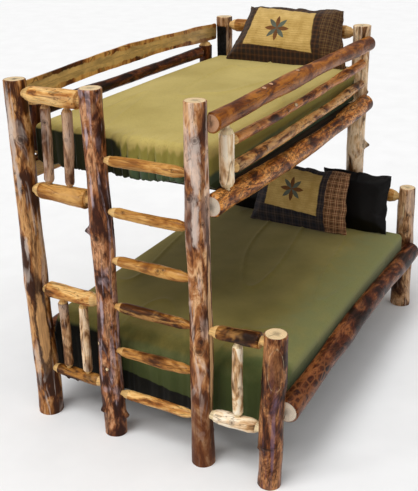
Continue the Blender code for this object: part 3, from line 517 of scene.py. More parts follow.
LOG_LOOKS = {
    "log_tan_grey": LogLook((72, 34, 8), (152, 96, 46), (206, 154, 98), (212, 196, 184), streaks=0.45,
                            heart=0.5, deep=0.8),
    "log_red_brown": LogLook((68, 30, 12), (154, 94, 54), (208, 152, 108), (196, 176, 182), flecks=0.5,
                             mottle=0.42, cell=38.0, deep=0.7),
    "log_orange_grey": LogLook((92, 46, 18), (166, 106, 58), (222, 174, 126), (236, 216, 202), streaks=0.4,
                               foot=0.26),
    "log_purple_brown": LogLook((50, 18, 3), (112, 60, 24), (190, 130, 80), (116, 90, 108), mottle=0.35,
                                streaks=0.25),
    "log_tan_pink": LogLook((92, 54, 28), (160, 116, 76), (206, 164, 122), (214, 188, 166)),
    # A paler copy of the tan-pink look: partly the paler tone of these logs, partly painted light lifting the
    # shade on the middle head post
    "log_sand_painted_light": LogLook((128, 86, 50), (218, 176, 128), (246, 218, 180), (242, 218, 190), flecks=0.3),
    "log_gold": LogLook((158, 96, 40), (214, 156, 84), (240, 196, 126), (242, 206, 144), flecks=0.6),
    "log_honey": LogLook((136, 82, 30), (176, 120, 54), (206, 154, 84), (216, 168, 100), flecks=0.25,
                         deep=0.8),
    "log_brown_honey": LogLook((58, 27, 5), (124, 75, 27), (172, 117, 52), (192, 138, 72), flecks=0.5,
                               mottle=0.25),
    "log_rung": LogLook((84, 44, 10), (146, 92, 38), (200, 142, 72), (212, 156, 88), pared=(218, 168, 100),
                        flecks=0.5, mottle=0.2, deep=0.7),
    "log_orange": LogLook((94, 44, 6), (134, 72, 10), (170, 101, 24), (180, 114, 36), pale=(216, 164, 126),
                          streaks=0.4, flecks=0.3, heart=0.6, deep=0.75),
    "log_dark_orange": LogLook((84, 36, 6), (156, 88, 30), (202, 128, 54), (212, 152, 92), flecks=0.5),
    "log_mottled": LogLook((92, 42, 10), (192, 114, 44), (232, 160, 82), (226, 176, 118),
                           pale=(232, 216, 194), streaks=0.3, flecks=0.45, mottle=0.66, cell=74.0),
    "log_tan_red": LogLook((96, 50, 16), (178, 116, 56), (220, 164, 94), (218, 174, 120), flecks=0.6),
    "log_slab": LogLook((96, 48, 16), (168, 104, 48), (222, 172, 98), (206, 158, 88), pared=(222, 184, 116)),
    "log_pale": LogLook((186, 140, 92), (246, 218, 178), (252, 240, 216), (252, 238, 216),
                        pared=(250, 226, 180), flecks=0.2),
    "log_grey_pink": LogLook((98, 62, 38), (154, 114, 84), (200, 164, 132), (190, 166, 150), streaks=0.6,
                             pared=(196, 152, 104), deep=0.7),
    "log_dark_red": LogLook((40, 14, 5), (84, 38, 16), (128, 72, 34), (104, 64, 42), pale=(232, 216, 194),
                            streaks=0.25, flecks=0.5, mottle=0.35, cell=34.0),
    "log_red_net": LogLook((42, 15, 6), (86, 40, 18), (140, 84, 46), (104, 64, 42), pale=(232, 216, 194),
                           streaks=0.2, flecks=0.4, mottle=0.35, cell=34.0, net=0.3),
}

# Which look each log has: by its name, or else by the first of the words that its name holds
NAMED_LOOKS = {
    "post_foot_wall": "log_tan_grey", "post_ladder_left": "log_red_brown",
    "post_ladder_right": "log_orange_grey", "post_foot_front": "log_purple_brown",
    "post_head_wall": "log_tan_pink", "post_head_middle": "log_sand_painted_light", "post_head_front": "log_tan_pink",
    "guard_back_top": "log_slab", "guard_front_stile": "log_pale", "guard_front_mid_1": "log_dark_orange",
    "guard_front_mid_2": "log_tan_red", "foot_spindle_front": "log_pale",
    "foot_spindle_lower_2": "log_sand_painted_light", "foot_spindle_lower_1": "log_tan_pink",
    "foot_rail_lower_bottom": "log_brown_honey", "foot_rail_front_top": "log_brown_honey",
    "foot_rail_front_bottom": "log_pale", "foot_rail_upper_bottom": "log_honey",
    "ladder_rung_6": "log_honey", "ladder_rung_5": "log_honey", "ladder_rung_4": "log_honey",
    "ladder_rung_1": "log_gold",
}
WORD_LOOKS = (("ladder_rung", "log_rung"), ("foot_rail", "log_gold"), ("head_rail", "log_honey"),
              ("spindle", "log_grey_pink"), ("side_rail_lower", "log_red_net"), ("side_rail", "log_mottled"),
              ("guard_back", "log_dark_red"), ("guard", "log_orange"))
NOT_LOGS = ("deck", "mattress", "pillow", "guard_bracket")


class Marks(NamedTuple):
    """Places on a log: along it, bearing, half width and half length, and how far they stand out."""
    knots: tuple = ()
    scars: tuple = ()
    ovals: tuple = ()
    bares: tuple = ()
    stains_and_sheen: tuple = ()


# Pale marks on the posts at the foot wall and by the ladder stand partly for painted sheen; the blue mark on
# the front foot post is real
LOG_MARKS = {
    "post_foot_wall": Marks(
        knots=((1.554, -52, 0.017, 0.017, 0.006), (1.30, -70, 0.012, 0.012, 0.004)),
        bares=((0.53, -44, 0.026, 0.22, -0.003),),
        stains_and_sheen=((1.60, -100, 0.016, 0.16, 0.0), (1.32, -88, 0.014, 0.12, 0.0), (1.0, -80, 0.012, 0.1, 0.0))),
    "post_ladder_left": Marks(
        knots=((1.13, -82, 0.016, 0.016, 0.007), (1.158, -138, 0.016, 0.016, 0.024),
               (0.162, -112, 0.016, 0.016, 0.022), (0.112, 8, 0.016, 0.016, 0.024),
               (0.84, -60, 0.012, 0.012, 0.006), (1.52, -20, 0.012, 0.012, 0.005)),
        scars=((0.414, -76, 0.007, 0.009, 0.003), (0.548, -125, 0.006, 0.009, 0.0)),
        stains_and_sheen=((1.62, -96, 0.010, 0.06, 0.0), (1.36, -90, 0.010, 0.08, 0.0), (0.72, -88, 0.010, 0.1, 0.0))),
    "post_ladder_right": Marks(
        knots=((1.674, -65, 0.012, 0.012, 0.004), (1.416, -100, 0.014, 0.014, 0.009),
               (1.297, -34, 0.010, 0.010, -0.004), (0.668, -76, 0.020, 0.018, 0.012),
               (0.72, -62, 0.012, 0.016, 0.006), (0.79, -67, 0.009, 0.013, 0.004)),
        bares=((0.72, -6, 0.013, 0.42, 0.0),),
        stains_and_sheen=((1.58, -66, 0.022, 0.17, 0.0), (1.30, -72, 0.016, 0.12, 0.0))),
    "post_foot_front": Marks(
        knots=((0.246, -87, 0.045, 0.008, 0.004), (0.228, -131, 0.012, 0.012, 0.010)),
        ovals=((0.672, -64, 0.034, 0.10, 0.003),),
        stains_and_sheen=((0.29, -57, 0.009, 0.24, 0.0),)),
    "post_head_middle": Marks(
        knots=((1.076, 5, 0.020, 0.020, 0.036), (1.25, -20, 0.013, 0.013, 0.006),
               (1.42, -2, 0.012, 0.012, 0.014))),
    "post_head_front": Marks(
        knots=((0.55, -60, 0.012, 0.012, 0.005),),
        scars=((0.683, -89, 0.004, 0.05, -0.004),)),
    "guard_front_top": Marks(
        scars=((-0.514, 78, 0.010, 0.012, 0.004), (-0.438, 80, 0.010, 0.012, 0.004),
               (-0.121, 80, 0.010, 0.014, 0.004))),
    "guard_front_mid_1": Marks(scars=((-0.146, 40, 0.009, 0.013, 0.002),)),
    "guard_front_mid_2": Marks(knots=((-0.53, 30, 0.012, 0.012, 0.006),)),
    "foot_rail_lower_bottom": Marks(
        knots=((-0.517, -95, 0.011, 0.011, 0.014), (-0.457, -95, 0.010, 0.010, 0.012))),
}


def read_points(mesh):
    points = np.empty(len(mesh.vertices) * 3)
    mesh.vertices.foreach_get("co", points)
    return points.reshape(-1, 3)


def write_points(mesh, points):
    mesh.vertices.foreach_set("co", np.asarray(points).ravel())
    mesh.update()


def add_vectors(obj, name, values):
    layer = obj.data.attributes.new(name, "FLOAT_VECTOR", "POINT")
    layer.data.foreach_set("vector", np.asarray(values, dtype=np.float32).ravel())


def ring_faces(first, second, count):
    """Faces between two rings of points."""
    return [(first + step, first + (step + 1) % count, second + (step + 1) % count, second + step)
            for step in range(count)]


def mesh_object(name, points, faces, material, sharp):
    """A smooth closed mesh with its faces turned outwards."""
    mesh = bpy.data.meshes.new(name)
    mesh.from_pydata([tuple(point) for point in points], [], faces)
    shape = bmesh.new()
    shape.from_mesh(mesh)
    bmesh.ops.recalc_face_normals(shape, faces=shape.faces)
    shape.to_mesh(mesh)
    shape.free()
    mesh.shade_smooth()
    mesh.set_sharp_from_angle(angle=math.radians(sharp))
    mesh.materials.append(material)
    return linked(name, mesh)


def linked(name, data):
    """A new object in the scene."""
    obj = bpy.data.objects.new(name, data)
    bpy.context.scene.collection.objects.link(obj)
    return obj


def dress(piece, node, body):
    """Puts a piece in the place of a CAD node."""
    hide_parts(node)
    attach(piece, body)


def outer_points(hits):
    """The corners of the outline around a set of flat points."""
    ordered = sorted(set(map(tuple, np.round(hits, 6))))
    halves = []
    for sequence in (ordered, ordered[::-1]):
        chain = []
        for point in sequence:
            while len(chain) > 1:
                (ax, ay), (bx, by) = chain[-2], chain[-1]
                if (bx - ax) * (point[1] - ay) - (by - ay) * (point[0] - ax) > 0:
                    break
                chain.pop()
            chain.append(point)
        halves += chain[:-1]
    return np.array(halves)


def fit_circle(hits):
    """Centre and radius of a log's section. Points well inside belong to bores and flats and are left out."""
    outline = outer_points(hits)
    kept = outline
    for _ in range(FIT_ROUNDS):
        system = np.c_[2 * kept, np.ones(len(kept))]
        solution = np.linalg.lstsq(system, (kept ** 2).sum(axis=1), rcond=None)[0]
        centre = solution[:2]
        radius = math.sqrt(solution[2] + centre @ centre)
        distance = np.linalg.norm(outline - centre, axis=1)
        inliers = outline[distance > radius - FIT_SLACK]
        if len(inliers) < FEWEST_HITS:
            break
        kept = inliers
    return centre, radius


class Trace:
    """The centre line and radii of a CAD log, read from sections across it."""

    def __init__(self, name, spacing):
        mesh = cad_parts[name].data
        points = read_points(mesh)
        edges = np.empty(len(mesh.edges) * 2, dtype=np.int32)
        mesh.edges.foreach_get("vertices", edges)
        self.low = points.min(axis=0)
        self.high = points.max(axis=0)
        self.axis = int(np.argmax(self.high - self.low))
        self.start = self.low[self.axis]
        self.end = self.high[self.axis]
        self.read(points[edges[0::2]], points[edges[1::2]], self.stations(points, spacing))

    def stations(self, points, spacing):
        """Even stations, with close ones on both sides of each CAD ring near the ends."""
        wanted = list(np.linspace(self.start, self.end, int((self.end - self.start) / spacing) + 2)[1:-1])
        for ring in np.unique(np.round(points[:, self.axis], 4)):
            if ring - self.start < END_ZONE or self.end - ring < END_ZONE:
                wanted += [ring - RING_STEP, ring + RING_STEP]
        kept = []
        for value in sorted(wanted):
            inside = self.start + RING_STEP / 2 < value < self.end - RING_STEP / 2
            if inside and (not kept or value - kept[-1] > RING_SPACING / 2):
                kept.append(value)
        return kept

    def read(self, start, end, stations):
        """Fits a circle at each station to the places where the edges of the CAD mesh cross it."""
        sections = []
        for value in stations:
            before = start[:, self.axis] - value
            after = end[:, self.axis] - value
            crossing = before * after < 0
            part = before[crossing] / (before[crossing] - after[crossing])
            hits = start[crossing] + part[:, None] * (end[crossing] - start[crossing])
            hits = np.delete(hits, self.axis, axis=1)
            if len(hits) >= FEWEST_HITS:
                sections.append((value, *fit_circle(hits)))
        self.along, self.centre, self.radius = (np.array(part) for part in zip(*sections))


def place(axis, flat, along):
    """A point from its two coordinates across the axis and the one along it."""
    return np.insert(flat, axis, along, axis=-1)


class LogPlan(NamedTuple):
    """How one log is made. A flat is a place across it, and a notch a range along it and a place across."""
    segments: int
    marks: Marks
    knot_count: int
    lump: float
    flat: float
    notch: tuple
    dowel: bool
    both_ends: bool
    live_edge: bool


class Skin:
    """A detailed closed skin over a traced log."""

    def __init__(self, trace, seed, plan):
        self.trace = trace
        self.seed = seed
        self.plan = plan
        self.segments = plan.segments
        self.angles = np.linspace(0, 2 * math.pi, plan.segments, endpoint=False)
        self.body = float(np.median(trace.radius))
        self.offset = np.array((seed * 1.7, seed * 0.9, seed * 2.3))
        self.knots = list(plan.marks.knots) + self.scattered(plan.knot_count)
        self.layers = {"grain": [], "skin": [], "marks": [], "along": [], "end": []}
        self.points = []
        self.faces = []
        self.make_rings()
        self.make_cap(0, trace.start, -1)
        self.make_cap(len(trace.along) - 1, trace.end, 1)

    def scattered(self, count):
        """Small knots at random places that are the same in each run."""
        source = random.Random(self.seed)
        length = self.trace.end - self.trace.start
        knots = []
        for _ in range(count):
            along = self.trace.start + length * source.uniform(0.08, 0.92)
            bearing = source.uniform(0, 360)
            size = source.uniform(0.006, 0.012)
            knots.append((along, bearing, size, size, source.uniform(0.001, 0.0035)))
        return knots

    def near(self, places, along):
        """How near each point of a ring is to the given places, 1 at their middle, and their rise."""
        nearness = np.zeros(self.segments)
        rise = np.zeros(self.segments)
        for middle, bearing, width, reach, height in places:
            if abs(along - middle) > reach * 3:
                continue
            turn = (self.angles - math.radians(bearing) + math.pi) % (2 * math.pi) - math.pi
            distance = np.sqrt((turn * self.body / width) ** 2 + ((along - middle) / reach) ** 2)
            nearness = np.maximum(nearness, np.clip(1 - distance / 2, 0, 1))
            rise += height * np.exp(-distance ** 2)
        return nearness, rise

    def add_points(self, points, **layers):
        """Adds a ring of points with its attributes. Those left out are 0."""
        start = sum(len(block) for block in self.points)
        self.points.append(points)
        for name, blocks in self.layers.items():
            blocks.append(layers.get(name, np.zeros((len(points), 3))))
        return start

    def make_rings(self):
        """Rings of points along the log, with the marks that each of them bears."""
        trace = self.trace
        across = np.c_[np.cos(self.angles), np.sin(self.angles)]
        length = trace.end - trace.start
        for along, centre, radius in zip(trace.along, trace.centre, trace.radius):
            knot, rise = self.near(self.knots, along)
            scar, sink = self.near(self.plan.marks.scars, along)
            oval, swell = self.near(self.plan.marks.ovals, along)
            bare, hollow = self.near(self.plan.marks.bares, along)
            stain_and_sheen = self.near(self.plan.marks.stains_and_sheen, along)[0]
            to_end = min(along - trace.start, trace.end - along)
            tip = radius < PARED_SHARE * self.body and to_end < min(END_ZONE, length / 3)
            first_half = along < trace.start + length / 2
            pared = float(self.plan.dowel and tip and (self.plan.both_ends or first_half))
            share = min(1.0, radius / self.body)
            seeds = place(2, across * self.body, along) + self.offset
            relief = np.array([self.relief(seed) for seed in seeds]) * share
            if pared:
                relief = relief * PARED_RELIEF
            spread = radius + relief + (rise + sink + swell + hollow) * share
            spread, sawn = self.clip(along, centre, across, spread)
            if self.plan.live_edge:
                sawn = sawn * np.clip((LIVE_EDGE - across[:, 1] * spread / radius) / LIVE_EDGE_SOFT, 0, 1)
            self.add_points(place(trace.axis, centre + across * spread[:, None], along), grain=seeds,
                            skin=np.c_[np.maximum(pared, sawn), knot, scar],
                            marks=np.c_[oval, bare, stain_and_sheen],
                            along=np.full((self.segments, 3), (along - trace.start) / length))
        for ring in range(len(trace.along) - 1):
            self.bridge(ring * self.segments, (ring + 1) * self.segments)

    def relief(self, seed):
        """Broad lumps and fine roughness, drawn out along the log."""
        drawn = Vector((seed[0], seed[1], seed[2] * ALONG_STRETCH))
        return noise.noise(drawn * LUMP_SCALE) * self.plan.lump + noise.noise(drawn * ROUGH_SCALE) * ROUGH

    def clip(self, along, centre, across, spread):
        """Keeps a log behind its sawn flat and out of its notch, and tells which points are sawn."""
        sawn = np.zeros(self.segments)
        if self.plan.flat is not None:
            room = self.plan.flat - centre[0]
            towards = across[:, 0] * room > abs(room) * TINY
            limit = np.where(towards, room / np.where(towards, across[:, 0], 1.0), np.inf)
            sawn = (limit < spread).astype(float)
            spread = np.minimum(spread, limit)
        if self.plan.notch and self.plan.notch[0] < along < self.plan.notch[1]:
            facing = across[:, 1] < -TINY
            room = (self.plan.notch[2] - centre[1]) / np.where(facing, across[:, 1], 1.0)
            spread = np.where(facing, np.minimum(spread, room), spread)
        return spread, sawn

    def make_cap(self, ring, along, direction):
        """A sawn end: rings of points towards the middle, with a fine crack from the heart."""
        trace = self.trace
        outline = self.points[ring]
        middle = place(trace.axis, trace.centre[ring], along)
        last = ring * self.segments
        crack = (self.seed * 2.4) % (2 * math.pi)
        turn = np.abs((self.angles - crack + math.pi) % (2 * math.pi) - math.pi)
        cracked = (turn < math.pi / self.segments).astype(float)
        for share in CAP_SHARES:
            points = middle + (outline - middle) * share
            points[:, trace.axis] = along - direction * CAP_RELIEF * (1 + np.sin(self.angles * 3 + self.seed))
            check = cracked * (0.2 < share < 0.8)
            end = np.c_[np.full(self.segments, share), np.ones(self.segments), check]
            start = self.add_points(points, grain=points + self.offset, end=end)
            self.bridge(last, start)
            last = start
        heart = middle[None, :]
        centre = self.add_points(heart, grain=heart + self.offset, end=np.array([[0.0, 1.0, 0.0]]))
        for step in range(self.segments):
            self.faces.append((last + step, last + (step + 1) % self.segments, centre))

    def bridge(self, first, second):
        self.faces += ring_faces(first, second, self.segments)

    def build(self, name, material):
        obj = mesh_object(name, np.concatenate(self.points), self.faces, material, LOG_SHARP)
        for attribute, blocks in self.layers.items():
            add_vectors(obj, attribute, np.concatenate(blocks))
        return obj


def log_look(name):
    """Which look a log has."""
    if name in NAMED_LOOKS:
        return NAMED_LOOKS[name]
    return next(look for word, look in WORD_LOOKS if word in name)


def make_logs():
    """A skin over each log of the frame."""
    materials = {name: log_material(name, look) for name, look in LOG_LOOKS.items()}
    names = [name for name in sorted(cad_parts) if not name.startswith(NOT_LOGS)]
    for seed, name in enumerate(names, start=1):
        half = name.startswith("side_rail") or name in ("guard_front_top", "guard_back_top")
        thick = half or name.startswith("post")
        trace = Trace(name, THICK_SPACING if thick else THIN_SPACING)
        segments = SPINDLE_SEGMENTS if "spindle" in name else RAIL_SEGMENTS
        flat = None
        if half:
            flat = trace.low[0] if "front" in name else trace.high[0]
        notch = None
        if name == "post_head_wall":
            low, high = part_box("guard_bracket")
            notch = (low.z - CLEAR, high.z + CLEAR, high.y)
        plan = LogPlan(
            segments=THICK_SEGMENTS if thick else segments,
            marks=LOG_MARKS.get(name, Marks()),
            knot_count=KNOT_COUNTS.get(name, THICK_KNOTS if thick else THIN_KNOTS),
            lump=LUMP * next((share for word, share in LUMP_SHARES if name.startswith(word)), 1.0),
            flat=flat,
            notch=notch,
            dowel=not thick,
            both_ends=not name.startswith("ladder"),
            live_edge=name == "guard_back_top")
        piece = Skin(trace, seed, plan).build("skin_" + name, materials[log_look(name)])
        dress(piece, name, "frame")


def make_screw(name, middle, material):
    """A domed screw head with a cross slot, facing the foot end."""
    points = []
    faces = []
    for index, (radius, height) in enumerate(SCREW_DOME):
        for step in range(SCREW_SEGMENTS):
            turn = 2 * math.pi * step / SCREW_SEGMENTS
            in_slot = step % (SCREW_SEGMENTS // 4) == 0 and radius < SCREW_SLOT
            rise = height - SCREW_SLOT_DEPTH if in_slot else height
            x = middle[0] + radius * math.cos(turn)
            points.append((x, middle[1] - rise, middle[2] + radius * math.sin(turn)))
        if index:
            faces += ring_faces((index - 1) * SCREW_SEGMENTS, index * SCREW_SEGMENTS, SCREW_SEGMENTS)
    faces.append(tuple(range(SCREW_SEGMENTS)))
    faces.append(tuple(range(len(points) - SCREW_SEGMENTS, len(points))))
    return mesh_object(name, points, faces, material, SCREW_SHARP)


def make_hardware():
    """Finishes for the CAD nodes that stay, and the screws of the steel plate."""
    steel = steel_material("black_steel")
    plywood = plywood_material("dark_plywood")
    for node, material in (("guard_bracket", steel), ("deck_upper", plywood), ("deck_lower", plywood)):
        for place_of_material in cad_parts[node].material_slots:
            place_of_material.link = "OBJECT"
            place_of_material.material = material
    low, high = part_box("guard_bracket")
    middle = (low + high) / 2
    count = 0
    for across in (-SCREW_ACROSS, SCREW_ACROSS):
        for rise in (-SCREW_UP, 0.0, SCREW_UP):
            count += 1
            screw = make_screw("plate_screw_%d" % count, (middle.x + across, low.y, middle.z + rise), steel)
            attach(screw, "frame")


def ripple(x, y, seed):
    """Smooth noise over flat places."""
    places = zip(np.ravel(x), np.ravel(y))
    return np.array([noise.noise(Vector((a, b, seed))) for a, b in places]).reshape(np.shape(x))


def smooth_step(low, high, value):
    share = np.clip((value - low) / (high - low), 0.0, 1.0)
    return share * share * (3 - 2 * share)


def arc(y, z, radius, start, end, count):
    """Rows of a side view round a middle, with their outward direction. Bearings are in half turns."""
    bearings = np.linspace(start * math.pi, end * math.pi, count)
    outwards = [(math.cos(bearing), math.sin(bearing)) for bearing in bearings]
    return [(y + radius * out, z + radius * up, out, up) for out, up in outwards]


def upper_cover_painted_shading(x, hang, reach, wave):
    """Shares of painted shade on the upper cover: olive where it hangs, dark teal lower down, lighter on the
    crests of the gathers, and darkest in their valleys and on the foot towards the wall.
    """
    at_foot = reach < FOOT_ZONE
    # Painted shade on the foot face towards the wall
    wall_shade = smooth_step(-0.16, -0.22, x - 0.09 * hang) * at_foot
    hem = np.where(at_foot, smooth_step(0.44, 0.7, hang - 0.14 * wave), smooth_step(0.22, 0.5, hang))
    dark = np.maximum(wall_shade * smooth_step(0.03, 0.15, hang), 0.6 * hem * np.maximum(-wave, 0.0) * at_foot)
    return smooth_step(0.05, 0.35, hang - 0.1 * wave), hem * (1 - 0.4 * np.maximum(wave, 0.0)), dark


def lower_cover_painted_shading(x, hang, reach, wave):
    """The same shares on the lower cover: greener towards the front and down the sides, in part painted light
    at the front edge; painted shade on the foot where it drops and round its soft edge; and black painted
    shadow at the wall and under the hem beside the ladder.
    """
    # Greener towards the front: partly painted light at the front edge
    green = np.maximum(0.7 * smooth_step(0.15, 0.66, x), smooth_step(0.02, 0.2, hang))
    wall_shade = smooth_step(-0.2, -0.26, x) * smooth_step(0.04, 0.2, hang)
    # Black painted shadow under the hem beside the ladder
    bay_shadow = smooth_step(0.32, 0.28, x) * smooth_step(0.62, 0.66, hang - 0.13 * smooth_step(-0.23, 0.18, x))
    at_foot = reach < SOFT_ROUND
    # Painted shade on the foot where it drops and near its rounded edge
    hanging_shade = smooth_step(-0.03, 0.34, hang - 0.02 * wave) * at_foot
    hem = np.maximum(0.65 * smooth_step(0.2, 0.06, reach), hanging_shade)
    return green, hem * (1 - 0.3 * smooth_step(0.32, 0.26, x)), np.maximum(wall_shade, bay_shadow) * at_foot


class CoverPlan(NamedTuple):
    """What sets a cover apart: its gathers, its hem, how round its foot is, and where light and shade are
    painted on it.
    """
    folds: int
    depth: float
    seed: float
    hem_rise: float
    ruffle: float
    foot_round: float
    painted_shading_tints: object


class Cover:
    """A mattress in its cover: a side profile swept across the bed, with gathers at the foot."""

    def __init__(self, node, deck, plan):
        low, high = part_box(node)
        self.plan = plan
        self.left = low.x
        self.right = high.x
        self.foot = low.y + FOLD_REACH
        self.head = high.y
        self.hem = low.z
        self.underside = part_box(deck)[1].z
        self.top = high.z - COVER_CROWN
        self.rows = np.array(self.profile())
        self.sweep()

    def profile(self):
        """Rows of the side view with their outward direction, from under the head round to the head."""
        inner = self.foot + COVER_THICKNESS
        soft = self.plan.foot_round
        rows = [(y, self.underside, 0, -1) for y in np.linspace(self.head, inner, 40, endpoint=False)]
        if self.underside - self.hem > COVER_THICKNESS:
            rows += [(inner, z, 1, 0) for z in np.linspace(self.underside, self.hem + COVER_LIP, 14)]
            rows.append(((inner + self.foot) / 2, self.hem, 0, -1))
            rows.append((self.foot, self.hem + COVER_LIP, -1, 0))
        else:
            rows += arc(inner, self.underside + COVER_THICKNESS, COVER_THICKNESS, -0.5, -1.0, 9)
        rows += [(self.foot, z, -1, 0) for z in np.linspace(rows[-1][1], self.top - soft, 28)[1:]]
        rows += arc(self.foot + soft, self.top - soft, soft, 1.0, 0.5, 13)[1:]
        count = int((self.head - self.foot) / COVER_ROW)
        places = np.linspace(self.foot + soft, self.head - COVER_ROUND, count)[1:-1]
        rows += [(y, self.top, 0, 1) for y in places]
        rows += arc(self.head - COVER_ROUND, self.top - COVER_ROUND, COVER_ROUND, 0.5, 0.0, 9)
        rows += [(self.head, z, 1, 0) for z in np.linspace(self.top - COVER_ROUND, self.underside, 8)[1:-1]]
        return rows

    def columns(self):
        """Places across the bed, close together where the sides turn, and how far the profile draws in."""
        edge = COVER_ROUND * (1 - np.cos(np.linspace(0, math.pi / 2, 8)))
        count = int((self.right - self.left) / COVER_COLUMN)
        middle = np.linspace(self.left + COVER_ROUND, self.right - COVER_ROUND, count)[1:-1]
        places = np.concatenate((self.left + edge, middle, (self.right - edge)[::-1]))
        from_side = np.minimum(np.minimum(places - self.left, self.right - places), COVER_ROUND)
        return places, COVER_ROUND - np.sqrt(COVER_ROUND ** 2 - (COVER_ROUND - from_side) ** 2)

    def gather(self, x):
        """The gathers across the bed, from -1 to 1."""
        turn = 2 * math.pi * self.plan.folds * (x - self.left) / (self.right - self.left)
        wave = np.sin(turn + 1.4 * np.sin(turn * 0.37 + self.plan.seed))
        small = np.sin(turn * 2.3 + 2.0 * np.sin(turn * 0.61) + self.plan.seed)
        return np.clip(0.72 * wave + 0.38 * small, -1.0, 1.0)

    def creases(self, x, y):
        """Broad waves and a few narrow creases that run along the bed."""
        broad = ripple(x * 3.0 + y * 0.9, y * 1.1 - x * 0.5, self.plan.seed)
        broad = broad + 0.5 * ripple(x * 8.0, y * 2.6, self.plan.seed + 5)
        line = ripple(x * 4.2 + y * 0.7, y * 0.9 - x * 0.4, self.plan.seed + 9)
        return RIPPLE * broad + CREASE * np.exp(-np.abs(line) / CREASE_WIDTH)

    def sweep(self):
        """Points and painted shading of the profile at each place across the bed."""
        places, inset = self.columns()
        x = np.repeat(places[:, None], len(self.rows), axis=1)
        y, z, out, up = (np.repeat(part[None, :], len(places), axis=0) for part in self.rows.T)
        below = z < self.underside - TINY
        top = np.maximum(up, 0.0)
        y = y - out * inset[:, None] * np.where(below, 0.2, 1.0)
        z = z - top * inset[:, None]
        hang = np.clip((self.top - z) / (self.top - self.hem), 0.0, 1.0)
        at_foot = y < self.foot + max(FOOT_ZONE, self.plan.foot_round)
        wave = self.gather(x)
        weight = np.where(at_foot, np.maximum(np.maximum(-out, 0.0), below), 0.0)
        depth = np.where(wave > 0, self.plan.depth, self.plan.depth * 1.7)
        y = y - depth * wave * weight * (0.35 + 0.65 * hang)
        z = z + TOP_WAVE * wave * np.exp(-np.maximum(y - self.foot, 0.0) / TOP_WAVE_REACH) * top
        ruffle = 0.5 + 0.5 * np.sin(wave * 2.0 + x * 19.0)
        lift = self.plan.hem_rise * smooth_step(-0.1, 0.28, x) + self.plan.ruffle * ruffle
        z = z + lift * hang ** 5 * at_foot
        across = (x - self.left) / (self.right - self.left) * 2 - 1
        along = np.clip((y - self.foot) / (self.head - self.foot) * 2 - 1, -1, 1)
        crown = (1 - across ** 2) * (1 - along ** 2)
        z = z + COVER_CROWN * np.sqrt(np.clip(crown, 0, 1)) * top
        z = z + self.creases(x, y) * top * np.clip(crown * 4, 0, 1)
        fallen = hang * (self.rows[:, 1] < self.top - TINY)
        self.points = np.stack((x, y, z), axis=-1).reshape(-1, 3)
        self.painted_shading = np.stack(self.plan.painted_shading_tints(x, fallen, y - self.foot, wave), axis=-1).reshape(-1, 3)
        self.size = (len(places), len(self.rows))

    def build(self, name, material):
        columns, rows = self.size
        faces = [tuple(range(rows)), tuple(range((columns - 1) * rows, columns * rows))]
        for column in range(columns - 1):
            faces += ring_faces(column * rows, (column + 1) * rows, rows)
        obj = mesh_object(name, self.points, faces, material, COVER_SHARP)
        add_vectors(obj, "painted_shading", self.painted_shading)
        return obj


